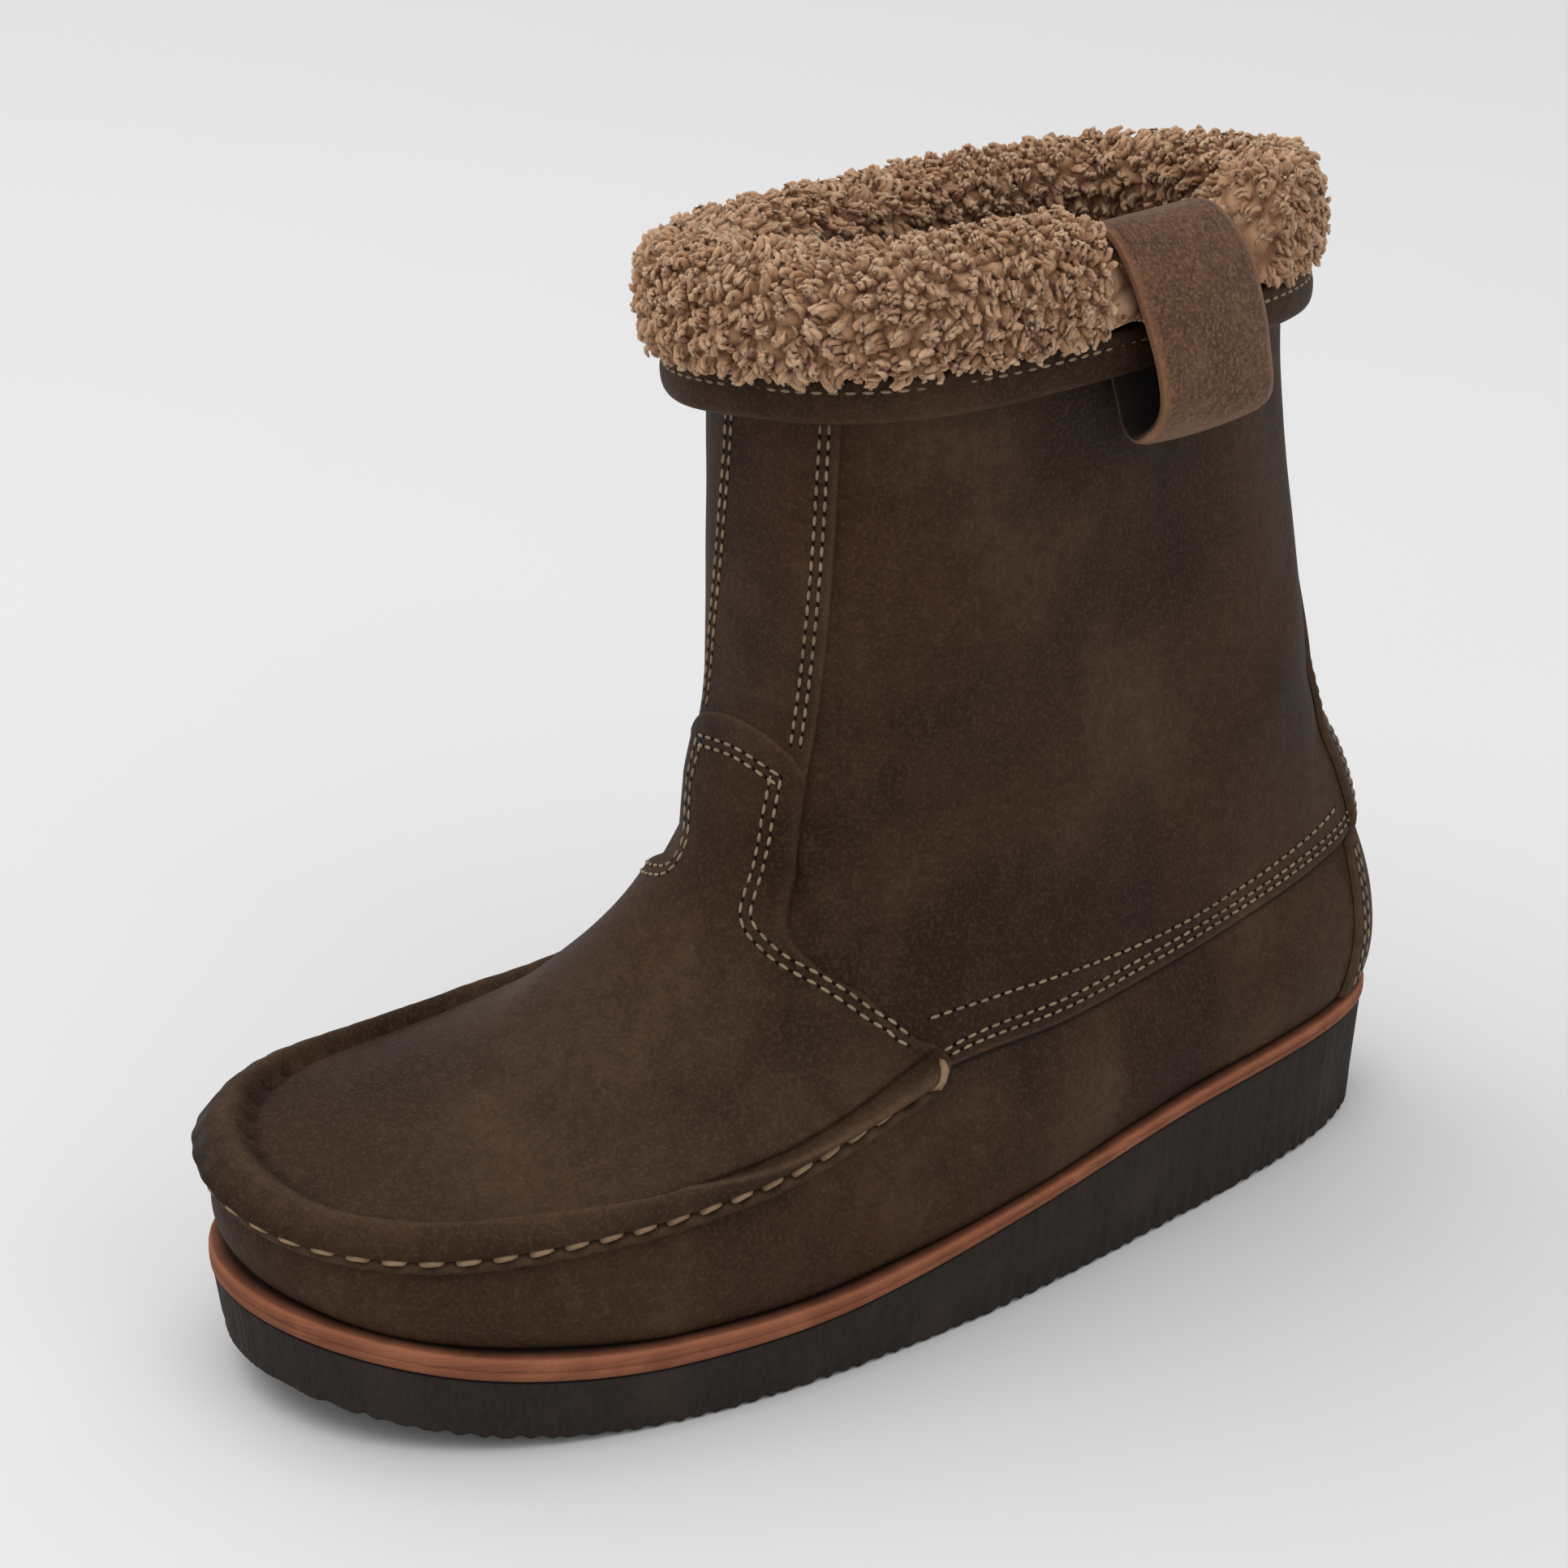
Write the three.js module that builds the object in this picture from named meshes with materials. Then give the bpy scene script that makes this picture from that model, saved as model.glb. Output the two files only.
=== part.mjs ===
// A pull-on mukluk boot for the left foot: a moccasin upper on a leather midsole and a rubber wedge,
// with a fleece cuff turned down over the shaft and a pull loop on its outer side.
// Millimetres. +Z is up, the toe points along -Y and the outer side of the foot is +X.
// The origin is on the floor, under the ankle. A station is a distance forward of the heel's back.
import * as THREE from "three";

// Driving dimensions.
const LENGTH = 300; // outsole, heel to toe
const BALL_WIDTH = 107; // outsole across the ball
const ANKLE_STATION = 100; // station of the origin
const HEEL_CENTRE = 36; // station that the forefoot swings about
const TOE_SWING = 2; // degrees that the forefoot turns towards the inner side
const HEEL_STACK = 29; // top of the rubber at the heel
const FOREFOOT_STACK = 15; // thickness of the rubber at the ball and toe
const TOE_SPRING = 10; // lift of the toe's tip
const SOLE_UNDERCUT = 2; // how far the tread's edge lies inside the rubber's top edge
const MIDSOLE_THICKNESS = 5.5; // leather midsole at the ball
const MIDSOLE_LIP = 0.5; // how far the midsole stands proud of the rubber
const FEATHER_INSET = 3.6; // midsole showing round the toe
const INSOLE_THICKNESS = 4;
const WALL_THICKNESS = 2.2; // upper leather
const WALL_HEIGHT = 44; // from midsole to moccasin seam, where it is highest
const WALL_BULGE = 3; // how far the moccasin wall swells over the midsole
const COLLAR_HEIGHT = 234; // floor to the leather's top edge
const COLLAR_TILT_OUT = 6.5; // how much higher the collar stands on the outer side
const COLLAR_TILT_FRONT = 2; // and in front
const THROAT_HEIGHT = 119; // floor to the ankle, where the shaft begins
const SHAFT_WIDTH = 80; // shaft across, at the collar
const SHAFT_TURN = 11; // degrees that the shaft faces outwards from the sole's line
const QUARTER_STEP = 0.9; // how far the quarters stand over the moccasin wall
const OVERLAY_THICKNESS = 1.5; // vamp
const TRIM_THICKNESS = 1.1; // front strip and heel pieces
const SEAM_ROLL = 4; // height of the rolled edge round the vamp
const ROLL_WIDTH = 9; // and its width
const STRIP_START = 2.08; // row of the upper where the vamp's tab starts to round off
const TAB_ROUND = 0.1; // rows of the upper that the rounding takes
const STRIP_DRIFT = 0.03; // how far round the shaft the strip drifts to the outer side on its way up
const FLEECE_FRONT = 16; // how far the turned-down fleece stands off the shaft in front
const FLEECE_BACK = 9.5; // and behind
const FLEECE_LINING = 9; // thickness of the fleece inside the shaft
const FLEECE_CROWN = 9.5; // how far the fleece rises over the leather's top edge
const CUFF_DROP = 15.5; // leather's top edge to the fleece's lower edge, outside
const LINING_DROP = 40; // leather's top edge to the fleece's lower edge, inside
const TUFT = 1.2; // height of the fleece's locks
const HEM_HEIGHT = 10; // leather binding under the fleece
const HEM_THICKNESS = 3;
const HEM_STANDOFF = 4.6; // free space between shaft and hem
const LOOP_WIDTH = 36.5; // pull loop
const LOOP_THICKNESS = 2.4;
const LOOP_DROP = 15; // how far the pull loop hangs below the hem
const LOOP_BELLY = 16.2; // how far it stands off the leather where it is widest
const LOOP_PLACE = 0.673; // where the pull loop crosses the cuff, from front, 0, to back, 1
const LOOP_PRESS = 0.03; // how far beside the loop the fleece is pressed down
const CLEARANCE = 0.3; // between pieces that lie on each other
const OVERLAY_SEAT = 0.6; // between the upper and the pieces laid on it

// Outline of the sole: how far each side stands off the axis, over the sine of the angle round it.
// The angle runs from the heel's back, 0, to the toe's tip, 180 degrees. Widths are shares of the ball's.
const OUTLINE = [
  { angle: 0, outer: 0.676, inner: 0.666 },
  { angle: 30, outer: 0.518, inner: 0.509 },
  { angle: 60, outer: 0.481, inner: 0.366 },
  { angle: 90, outer: 0.552, inner: 0.396 },
  { angle: 120, outer: 0.646, inner: 0.494 },
  { angle: 150, outer: 0.733, inner: 0.678 },
  { angle: 180, outer: 0.762, inner: 0.782 },
];

// Along the sole, by shares of its length: the rubber's top from heel (1) to forefoot (0), the toe's
// lift, and the midsole's thickness.
const SOLE = [
  { share: 0.0, stack: 1.0, lift: 0.0, midsole: 0.75 },
  { share: 0.25, stack: 1.0, lift: 0.0, midsole: 0.64 },
  { share: 0.45, stack: 0.55, lift: 0.0, midsole: 0.64 },
  { share: 0.62, stack: 0.07, lift: 0.0, midsole: 0.85 },
  { share: 0.76, stack: 0.0, lift: 0.0, midsole: 1.0 },
  { share: 0.88, stack: 0.0, lift: 0.32, midsole: 1.0 },
  { share: 1.0, stack: 0.0, lift: 1.0, midsole: 1.0 },
];

// Moccasin wall round the foot, by the outline's angle: its height on each side, how far its foot lies
// inside the sole's edge, and how far its top edge lies inside (-) or outside (+) its foot, in its height.
const WALL = [
  { angle: 0, outer: 0.9, inner: 0.9, inset: 0.75, lean: -0.08 },
  { angle: 30, outer: 0.875, inner: 0.875, inset: 0.6, lean: -0.1 },
  { angle: 60, outer: 0.79, inner: 0.79, inset: 0.5, lean: -0.1 },
  { angle: 76, outer: 0.81, inner: 0.84, inset: 0.5, lean: -0.1 },
  { angle: 92, outer: 0.9, inner: 0.95, inset: 0.6, lean: -0.1 },
  { angle: 110, outer: 0.71, inner: 0.78, inset: 0.8, lean: -0.09 },
  { angle: 130, outer: 0.58, inner: 0.68, inset: 1.0, lean: -0.05 },
  { angle: 150, outer: 0.44, inner: 0.6, inset: 1.0, lean: 0.0 },
  { angle: 165, outer: 0.41, inner: 0.54, inset: 1.0, lean: 0.08 },
  { angle: 180, outer: 0.46, inner: 0.46, inset: 1.0, lean: 0.12 },
];

// How the upper runs from the seam to the ankle, by the outline's angle: two controls of a curve, each
// as shares of the way in and of the way up, and where round the shaft the curve lands in degrees.
const RISE = [
  { angle: 0, in1: 0.06, up1: 0.33, in2: 0.78, up2: 0.68, lands: 180 },
  { angle: 45, in1: 0.12, up1: 0.33, in2: 0.78, up2: 0.68, lands: 118 },
  { angle: 80, in1: 0.22, up1: 0.33, in2: 0.82, up2: 0.66, lands: 66 },
  { angle: 100, in1: 0.34, up1: 0.22, in2: 0.9, up2: 0.56, lands: 47 },
  { angle: 130, in1: 0.5, up1: 0.06, in2: 0.93, up2: 0.38, lands: 28 },
  { angle: 155, in1: 0.58, up1: 0.03, in2: 0.96, up2: 0.35, lands: 14 },
  { angle: 180, in1: 0.62, up1: 0.05, in2: 0.97, up2: 0.37, lands: 0 },
];

// Sections of the shaft from the ankle, 0, to the collar, 1: front and back as shares of the length,
// width of the shaft's, its place to the outer side as a share of its width, its share of the turn,
// and the oval's exponent.
const SHAFT = [
  { rise: 0.0, front: 0.614, back: 0.084, width: 1.04, offset: 0.02, turn: 0.45, square: 2.4 },
  { rise: 0.16, front: 0.604, back: 0.096, width: 1.0, offset: 0.03, turn: 0.6, square: 2.6 },
  { rise: 0.4, front: 0.602, back: 0.11, width: 0.98, offset: 0.03, turn: 0.8, square: 2.8 },
  { rise: 0.7, front: 0.602, back: 0.13, width: 0.98, offset: 0.03, turn: 0.95, square: 2.9 },
  { rise: 1.0, front: 0.602, back: 0.142, width: 1.0, offset: 0.03, turn: 1.0, square: 2.9 },
];

// The vamp's edge: half its width, as a share of the way round, by rows of the upper.
const VAMP = [
  { row: 0.93, outer: 0.485, inner: 0.485 },
  { row: 1.12, outer: 0.485, inner: 0.485 },
  { row: 1.3, outer: 0.45, inner: 0.45 },
  { row: 1.45, outer: 0.41, inner: 0.41 },
  { row: 1.66, outer: 0.315, inner: 0.315 },
  { row: 1.76, outer: 0.215, inner: 0.215 },
  { row: 1.83, outer: 0.15, inner: 0.15 },
  { row: 1.92, outer: 0.14, inner: 0.14 },
  { row: 2.08, outer: 0.135, inner: 0.135 },
];

// Fleece cuff's section, from its lower edge outside, over the top, to its lower edge inside: how far
// out of the leather in shares of the fleece there, and how far up in shares of the drop or the crown.
// The pressed section is the one that lies under the pull loop.
const CUFF = [
  { out: 0.45, up: -1.0, pressedOut: 0.45, pressedUp: -1.0 },
  { out: 0.8, up: -1.02, pressedOut: 0.7, pressedUp: -1.02 },
  { out: 0.97, up: -0.75, pressedOut: 0.74, pressedUp: -0.8 },
  { out: 1.0, up: -0.25, pressedOut: 0.46, pressedUp: -0.46 },
  { out: 0.93, up: 0.3, pressedOut: 0.19, pressedUp: -0.16 },
  { out: 0.62, up: 0.82, pressedOut: 0.03, pressedUp: 0.1 },
  { out: 0.15, up: 1.0, pressedOut: 0.01, pressedUp: 0.15 },
  { out: -0.45, up: 0.82, pressedOut: -0.22, pressedUp: 0.12 },
  { out: -0.85, up: 0.3, pressedOut: -0.38, pressedUp: -0.03 },
  { out: -1.0, up: -0.2, pressedOut: -0.45, pressedUp: -0.16 },
  { out: -1.0, up: -0.6, pressedOut: -0.48, pressedUp: -0.6 },
  { out: -0.8, up: -0.95, pressedOut: -0.46, pressedUp: -0.95 },
  { out: -0.3, up: -1.0, pressedOut: -0.3, pressedUp: -1.0 },
];

const rad = THREE.MathUtils.degToRad;
const lerp = THREE.MathUtils.lerp;
const clamp = THREE.MathUtils.clamp;
const smooth = THREE.MathUtils.smoothstep;

// A smooth curve through one column of a table, by another.
function along(table, key, column, at) {
  const last = table.length - 1;
  const x = clamp(at, table[0][key], table[last][key]);
  let i = 0;
  while (i < last - 1 && x > table[i + 1][key]) i += 1;
  const slope = (k) => {
    const a = table[Math.max(k - 1, 0)];
    const b = table[Math.min(k + 1, last)];
    return (b[column] - a[column]) / (b[key] - a[key]);
  };
  const span = table[i + 1][key] - table[i][key];
  const s = (x - table[i][key]) / span;
  const h = s * s * (3 - 2 * s);
  const ease = span * s * (1 - s) * ((1 - s) * slope(i) - s * slope(i + 1));
  return lerp(table[i][column], table[i + 1][column], h) + ease;
}

// Round the shoe, u runs from the toe, 0, to the heel's back, 1 on the outer side and -1 on the inner.
const wrap = (u) => ((((u + 1) % 2) + 2) % 2) - 1;
const angleOf = (u) => 180 * (1 - Math.abs(u));

function outlinePoint(u) {
  const angle = angleOf(u);
  const side = u < 0 ? "inner" : "outer";
  const off = Math.sign(u) * Math.sin(rad(angle)) * along(OUTLINE, "angle", side, angle) * BALL_WIDTH;
  const station = (LENGTH / 2) * (1 - Math.cos(rad(angle)));
  const turned = new THREE.Vector2(off, station);
  return turned.rotateAround(new THREE.Vector2(0, HEEL_CENTRE), rad(TOE_SWING));
}

// The same outline moved outwards by some millimetres, as the side offset and the station.
function outline(u, outwards) {
  const step = 0.004;
  const tangent = outlinePoint(wrap(u + step)).sub(outlinePoint(wrap(u - step))).normalize();
  return outlinePoint(wrap(u)).add(new THREE.Vector2(-tangent.y, tangent.x).multiplyScalar(outwards));
}

const lift = (station) => TOE_SPRING * Math.max(along(SOLE, "share", "lift", station / LENGTH), 0);
const rubberTop = (station) =>
  lerp(FOREFOOT_STACK, HEEL_STACK, along(SOLE, "share", "stack", station / LENGTH)) + lift(station);
const midsoleTop = (station) =>
  rubberTop(station) + CLEARANCE + MIDSOLE_THICKNESS * along(SOLE, "share", "midsole", station / LENGTH);

const place = (plan, z) => new THREE.Vector3(plan.x, ANKLE_STATION - plan.y, z);

// The moccasin wall, from the midsole, row 0, to the seam, row 1.
function wallPoint(u, row) {
  const angle = angleOf(u);
  const inset = FEATHER_INSET * along(WALL, "angle", "inset", angle);
  const height = WALL_HEIGHT * along(WALL, "angle", u < 0 ? "inner" : "outer", angle);
  const lean = height * along(WALL, "angle", "lean", angle);
  const swell = WALL_BULGE * Math.sin(Math.PI * Math.pow(row, 0.75));
  const plan = outline(u, -inset + lean * row * row + swell);
  return place(plan, midsoleTop(outlinePoint(u).y) + CLEARANCE + height * row);
}

// The shaft, from the ankle, 0, to the collar, 1, at some angle from its front, in degrees.
function shaftPoint(degrees, rise) {
  const at = (column) => along(SHAFT, "rise", column, rise);
  const length = ((at("front") - at("back")) * LENGTH) / 2;
  const width = (at("width") * SHAFT_WIDTH) / 2;
  const across = Math.sin(rad(degrees));
  const ahead = Math.cos(rad(degrees));
  const power = at("square");
  const reach = Math.pow(
    Math.pow(Math.abs(across) / width, power) + Math.pow(Math.abs(ahead) / length, power),
    -1 / power,
  );
  const centre = new THREE.Vector2(at("offset") * SHAFT_WIDTH, ((at("front") + at("back")) * LENGTH) / 2);
  const plan = new THREE.Vector2(across * reach, ahead * reach);
  plan.rotateAround(new THREE.Vector2(0, 0), -rad(SHAFT_TURN * at("turn"))).add(centre);
  const tilt = COLLAR_TILT_OUT * ((across * reach) / width) + COLLAR_TILT_FRONT * ((ahead * reach) / length);
  return place(plan, lerp(THROAT_HEIGHT, COLLAR_HEIGHT, rise) + tilt * rise * rise);
}

// The upper's outer face: rows 0 to 1 are the moccasin wall, 1 to 2 the vamp and the quarters'
// lower half, 2 to 3 the shaft.
function upperPoint(u, row) {
  const round = wrap(u);
  if (row <= 1) return wallPoint(round, Math.max(row, 0));
  const angle = angleOf(round);
  const degrees = Math.sign(round || 1) * along(RISE, "angle", "lands", angle);
  if (row >= 2) return shaftPoint(degrees, row - 2);
  const at = (column) => along(RISE, "angle", column, angle);
  const start = wallPoint(round, 1);
  const end = shaftPoint(degrees, 0);
  const control = (inwards, upwards) =>
    new THREE.Vector3(
      lerp(start.x, end.x, inwards),
      lerp(start.y, end.y, inwards),
      lerp(start.z, end.z, upwards),
    );
  const curve = new THREE.CubicBezierCurve3(
    start,
    control(at("in1"), at("up1")),
    control(at("in2"), at("up2")),
    end,
  );
  return curve.getPoint(row - 1);
}

function upperNormal(u, row) {
  const du = 0.006;
  const dv = 0.012;
  const low = Math.max(row - dv, 0);
  const high = Math.min(row + dv, 3);
  const alongU = upperPoint(u + du, row).sub(upperPoint(u - du, row));
  const alongRow = upperPoint(u, high).sub(upperPoint(u, low));
  return alongU.cross(alongRow).normalize();
}

// A point some millimetres off the upper's outer face.
function offUpper(u, row, out) {
  return upperPoint(u, row).addScaledVector(upperNormal(u, row), out);
}

// How far the upper itself stands over that face: the quarters lie over the wall.
const quarterLap = (row) => QUARTER_STEP * smooth(row, 0.985, 1.0);

// Meshes.
const quad = (a, b, c, d) => [a, b, c, a, c, d];

function mesh(name, points, index, colour, roughness) {
  const geometry = new THREE.BufferGeometry().setFromPoints(points);
  let volume = 0;
  for (let i = 0; i < index.length; i += 3) {
    const [a, b, c] = [points[index[i]], points[index[i + 1]], points[index[i + 2]]];
    volume += a.dot(b.clone().cross(c));
  }
  geometry.setIndex(volume > 0 ? index : index.slice().reverse());
  geometry.computeVertexNormals();
  const material = new THREE.MeshStandardMaterial({ color: colour, roughness: roughness, metalness: 0 });
  const made = new THREE.Mesh(geometry, material);
  made.name = name;
  return made;
}

// A ring: one closed section for each step round.
function ring(name, around, sectionAt, colour, roughness) {
  const sections = around.map((u) => sectionAt(u));
  const count = sections[0].length;
  const points = sections.flat();
  const index = [];
  for (let i = 0; i < around.length; i += 1) {
    const next = (i + 1) % around.length;
    for (let k = 0; k < count; k += 1) {
      const up = (k + 1) % count;
      index.push(...quad(i * count + k, next * count + k, next * count + up, i * count + up));
    }
  }
  return mesh(name, points, index, colour, roughness);
}

// A bar: closed sections one after another, with a flat end on the first and the last.
function bar(name, sections, colour, roughness) {
  const count = sections[0].length;
  const points = sections.flat();
  const index = [];
  for (let i = 0; i < sections.length - 1; i += 1) {
    for (let k = 0; k < count; k += 1) {
      const up = (k + 1) % count;
      index.push(...quad(i * count + k, (i + 1) * count + k, (i + 1) * count + up, i * count + up));
    }
  }
  const last = (sections.length - 1) * count;
  for (let k = 1; k < count / 2; k += 1) {
    const other = count - 1 - k;
    index.push(...quad(k - 1, k, other, other + 1));
    index.push(...quad(last + k, last + k - 1, last + other + 1, last + other));
  }
  return mesh(name, points, index, colour, roughness);
}

// A slab: loops from the lowest to the highest, closed across from the outer to the inner side.
function slab(name, around, loops, colour, roughness) {
  const count = around.length;
  const points = loops.flat();
  const index = [];
  for (let i = 0; i < loops.length - 1; i += 1) {
    for (let k = 0; k < count; k += 1) {
      const next = (k + 1) % count;
      index.push(...quad(i * count + k, i * count + next, (i + 1) * count + next, (i + 1) * count + k));
    }
  }
  const top = (loops.length - 1) * count;
  for (let k = 1; k < count / 2; k += 1) {
    const other = (count - k) % count;
    const before = (count - k + 1) % count;
    if (k > 1) {
      index.push(...quad(k, k - 1, before, other));
      index.push(...quad(top + k - 1, top + k, top + other, top + before));
    } else {
      index.push(1, 0, other, top, top + 1, top + other);
    }
  }
  const half = count / 2;
  index.push(half, half - 1, half + 1, top + half - 1, top + half, top + half + 1);
  return mesh(name, points, index, colour, roughness);
}

const ROUND = 64;
const around = Array.from({ length: ROUND }, (_, i) => wrap((2 * i) / ROUND));

// Sole.
const soleLoop = (outwards, heightAt) =>
  around.map((u) => place(outline(u, outwards), heightAt(outlinePoint(u).y)));
const outsole = slab(
  "outsole",
  around,
  [soleLoop(-SOLE_UNDERCUT, lift), soleLoop(0, rubberTop)],
  "#2f2724",
  0.8,
);
const midsole = slab(
  "midsole",
  around,
  [soleLoop(MIDSOLE_LIP, (t) => rubberTop(t) + CLEARANCE), soleLoop(MIDSOLE_LIP, midsoleTop)],
  "#a5653f",
  0.6,
);
const insoleLoop = (up) =>
  around.map((u) => {
    const inset = FEATHER_INSET * along(WALL, "angle", "inset", angleOf(u)) + WALL_THICKNESS + 2 * CLEARANCE;
    return place(outline(u, -inset), midsoleTop(outlinePoint(u).y) + CLEARANCE + up);
  });
const insole = slab("insole", around, [insoleLoop(0), insoleLoop(INSOLE_THICKNESS)], "#b08d66", 0.9);

// Upper: one hollow leather wall, open under the foot and at the collar.
const footRows = [0, 0.12, 0.3, 0.55, 0.8, 0.985, 1, 1.1, 1.22, 1.36, 1.48, 1.58, 1.67, 1.75, 1.83, 1.91, 2];
const upperRows = [...footRows, 2.12, 2.3, 2.5, 2.75, 3];
const upper = ring(
  "upper",
  around,
  (u) => [
    ...upperRows.map((row) => offUpper(u, row, quarterLap(row))),
    ...upperRows.map((row) => offUpper(u, row, quarterLap(row) - WALL_THICKNESS)).reverse(),
  ],
  "#463629",
  0.75,
);

// A leather piece laid on the upper, from sections of places along each row, edge to edge.
function overlay(name, rows, steps, placeAt, thicknessAt) {
  const sections = rows.map((row) => {
    const places = Array.from({ length: steps + 1 }, (_, i) => placeAt(row, (2 * i) / steps - 1));
    const inner = places.map(([u, r]) => offUpper(u, r, quarterLap(r) + OVERLAY_SEAT));
    const outer = places.map(([u, r]) => offUpper(u, r, quarterLap(r) + OVERLAY_SEAT + thicknessAt(u, r)));
    return [...outer, ...inner.reverse()];
  });
  return bar(name, sections, "#4b3b2d", 0.75);
}

// Vamp: the moccasin plug, with a rolled edge along its seam and a rounded tab up the shin.
const tabEdge = (share) => STRIP_START + TAB_ROUND * Math.sqrt(1 - share * share);
const vampRows = [
  0.93, 1, 1.05, 1.12, 1.2, 1.3, 1.42, 1.54, 1.64, 1.72, 1.78, 1.83, 1.9, 1.97, STRIP_START,
  ...[0.45, 0.75, 0.93].map((share) => tabEdge(Math.sqrt(1 - share * share))),
];
function vampPlace(row, share) {
  const side = share < 0 ? "inner" : "outer";
  const over = clamp((row - STRIP_START) / TAB_ROUND, 0, 1);
  const width = along(VAMP, "row", side, row) * Math.sqrt(1 - over * over);
  return [share * width, row];
}
function vampThickness(u, row) {
  const fromSeam = upperPoint(u, Math.max(row, 1)).distanceTo(upperPoint(u, 1));
  if (row < 1) return OVERLAY_THICKNESS + (SEAM_ROLL / 2) * smooth(row, 0.9, 1);
  const across = fromSeam / ROLL_WIDTH;
  return OVERLAY_THICKNESS + (SEAM_ROLL * (1 + Math.cos(Math.PI * clamp(2 * across - 0.7, -0.7, 1)))) / 2;
}
const vamp = overlay("vamp", vampRows, 28, vampPlace, vampThickness);

// Front strip up the shin, from the tab to the fleece.
const STRIP_TOP = 3 - (CUFF_DROP + 1) / (COLLAR_HEIGHT - THROAT_HEIGHT);
const stripHalf = along(VAMP, "row", "outer", STRIP_START);
const strip = overlay(
  "front_strip",
  [0, 0.12, 0.3, 0.5, 0.75, 1],
  8,
  (row, share) => [
    share * stripHalf * 0.96 + STRIP_DRIFT * row,
    lerp(tabEdge(share * 0.96) + 0.008, STRIP_TOP, row),
  ],
  () => TRIM_THICKNESS,
);

// Heel pieces: a strip down the back of the shaft and a counter below the seam.
const backstay = overlay(
  "backstay",
  [2.3, 2.1, 1.9, 1.7, 1.5, 1.3, 1.1, 1.015],
  8,
  (row, share) => [1 + share * lerp(0.11, 0.05, smooth(row, 1.1, 2.3)), row],
  () => TRIM_THICKNESS,
);
const counter = overlay(
  "heel_counter",
  [0.97, 0.8, 0.6, 0.4, 0.2, 0.03],
  8,
  (row, share) => [1 + share * lerp(0.17, 0.13, row), row],
  () => TRIM_THICKNESS,
);

// Places round the cuff: some millimetres out of the shaft's leather and above its top edge.
function cuffPoint(u, out, up) {
  const rise = clamp(1 + up / (COLLAR_HEIGHT - THROAT_HEIGHT), 0, 1);
  const degrees = (v) => Math.sign(wrap(v) || 1) * along(RISE, "angle", "lands", angleOf(wrap(v)));
  const base = shaftPoint(degrees(u), rise);
  const tangent = shaftPoint(degrees(u + 0.006), rise).sub(shaftPoint(degrees(u - 0.006), rise));
  const normal = new THREE.Vector3(tangent.y, -tangent.x, 0).normalize();
  const top = shaftPoint(degrees(u), 1).z;
  return base.addScaledVector(normal, out).setZ(top + up);
}
const fleeceStand = (u) => lerp(FLEECE_FRONT, FLEECE_BACK, smooth(Math.abs(wrap(u)), 0.1, 0.8));

// How much the pull loop presses the fleece down: fully under the loop, not at all a little beside it.
const loopGirth = 100 * cuffPoint(LOOP_PLACE, 12, 0).distanceTo(cuffPoint(LOOP_PLACE + 0.01, 12, 0));
const loopHalf = LOOP_WIDTH / 2 / loopGirth;
const besideLoop = (u) => Math.abs(wrap(u - LOOP_PLACE)) - loopHalf;
const pressed = (u) => 1 - smooth(besideLoop(u), LOOP_PRESS * 0.8, LOOP_PRESS * 1.8);
const leatherOut = QUARTER_STEP + CLEARANCE;
const leatherIn = QUARTER_STEP - WALL_THICKNESS - 4 * CLEARANCE;

// The fleece's locks: a bumpy height that repeats round the cuff.
function locks(turn, k) {
  const wave = Math.sin(turn * 23 + k * 2.1) * Math.sin(turn * 13 - k * 1.3 + 0.8);
  return (TUFT * (wave + Math.sin(turn * 37 + k * 2.9) * 0.6)) / 1.6;
}
function cuffSection(u) {
  const turn = Math.PI * u;
  const press = pressed(u);
  return CUFF.map(({ out, up, pressedOut, pressedUp }, k) => {
    const thick = out > 0 ? fleeceStand(u) : FLEECE_LINING;
    const drop = out > 0 ? CUFF_DROP : LINING_DROP;
    const face = out > 0 ? leatherOut : leatherIn;
    const inner = k > 0 && k < CUFF.length - 1;
    const bump = inner ? locks(turn, k) * (1 - press) : 0;
    const share = Math.abs(out) > 0.2 ? bump * Math.sign(out) : 0;
    const high = up > 0 ? up * (FLEECE_CROWN + bump) : up * drop;
    const low = pressedUp * (pressedUp > 0 ? FLEECE_CROWN : drop);
    return [face + lerp(out, pressedOut, press) * thick + share, lerp(high, low, press)];
  });
}
const cuff = ring(
  "fleece_cuff",
  around,
  (u) => [
    [leatherOut, -CUFF_DROP],
    ...cuffSection(u),
    [leatherIn, -LINING_DROP],
    [leatherIn - CLEARANCE, -LINING_DROP / 2],
    [leatherIn, CLEARANCE],
    [leatherOut, CLEARANCE],
  ].map(([out, up]) => cuffPoint(u, out, up)),
  "#a5825f",
  0.95,
);

// Hem: the leather binding under the fleece.
const hemFoot = -CUFF_DROP - CLEARANCE - HEM_HEIGHT;
const hemOut = (u) => HEM_STANDOFF + (fleeceStand(u) - FLEECE_BACK) * 0.35;
const hem = ring(
  "hem_band",
  around,
  (u) => {
    const inner = hemOut(u);
    const outer = inner + HEM_THICKNESS;
    return [
      [inner, hemFoot + 1],
      [inner + 0.8, hemFoot],
      [outer - 0.8, hemFoot],
      [outer, hemFoot + 1],
      [outer, hemFoot + HEM_HEIGHT],
      [inner, hemFoot + HEM_HEIGHT],
    ].map(([out, up]) => cuffPoint(u, out, up));
  },
  "#42342a",
  0.7,
);

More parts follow.
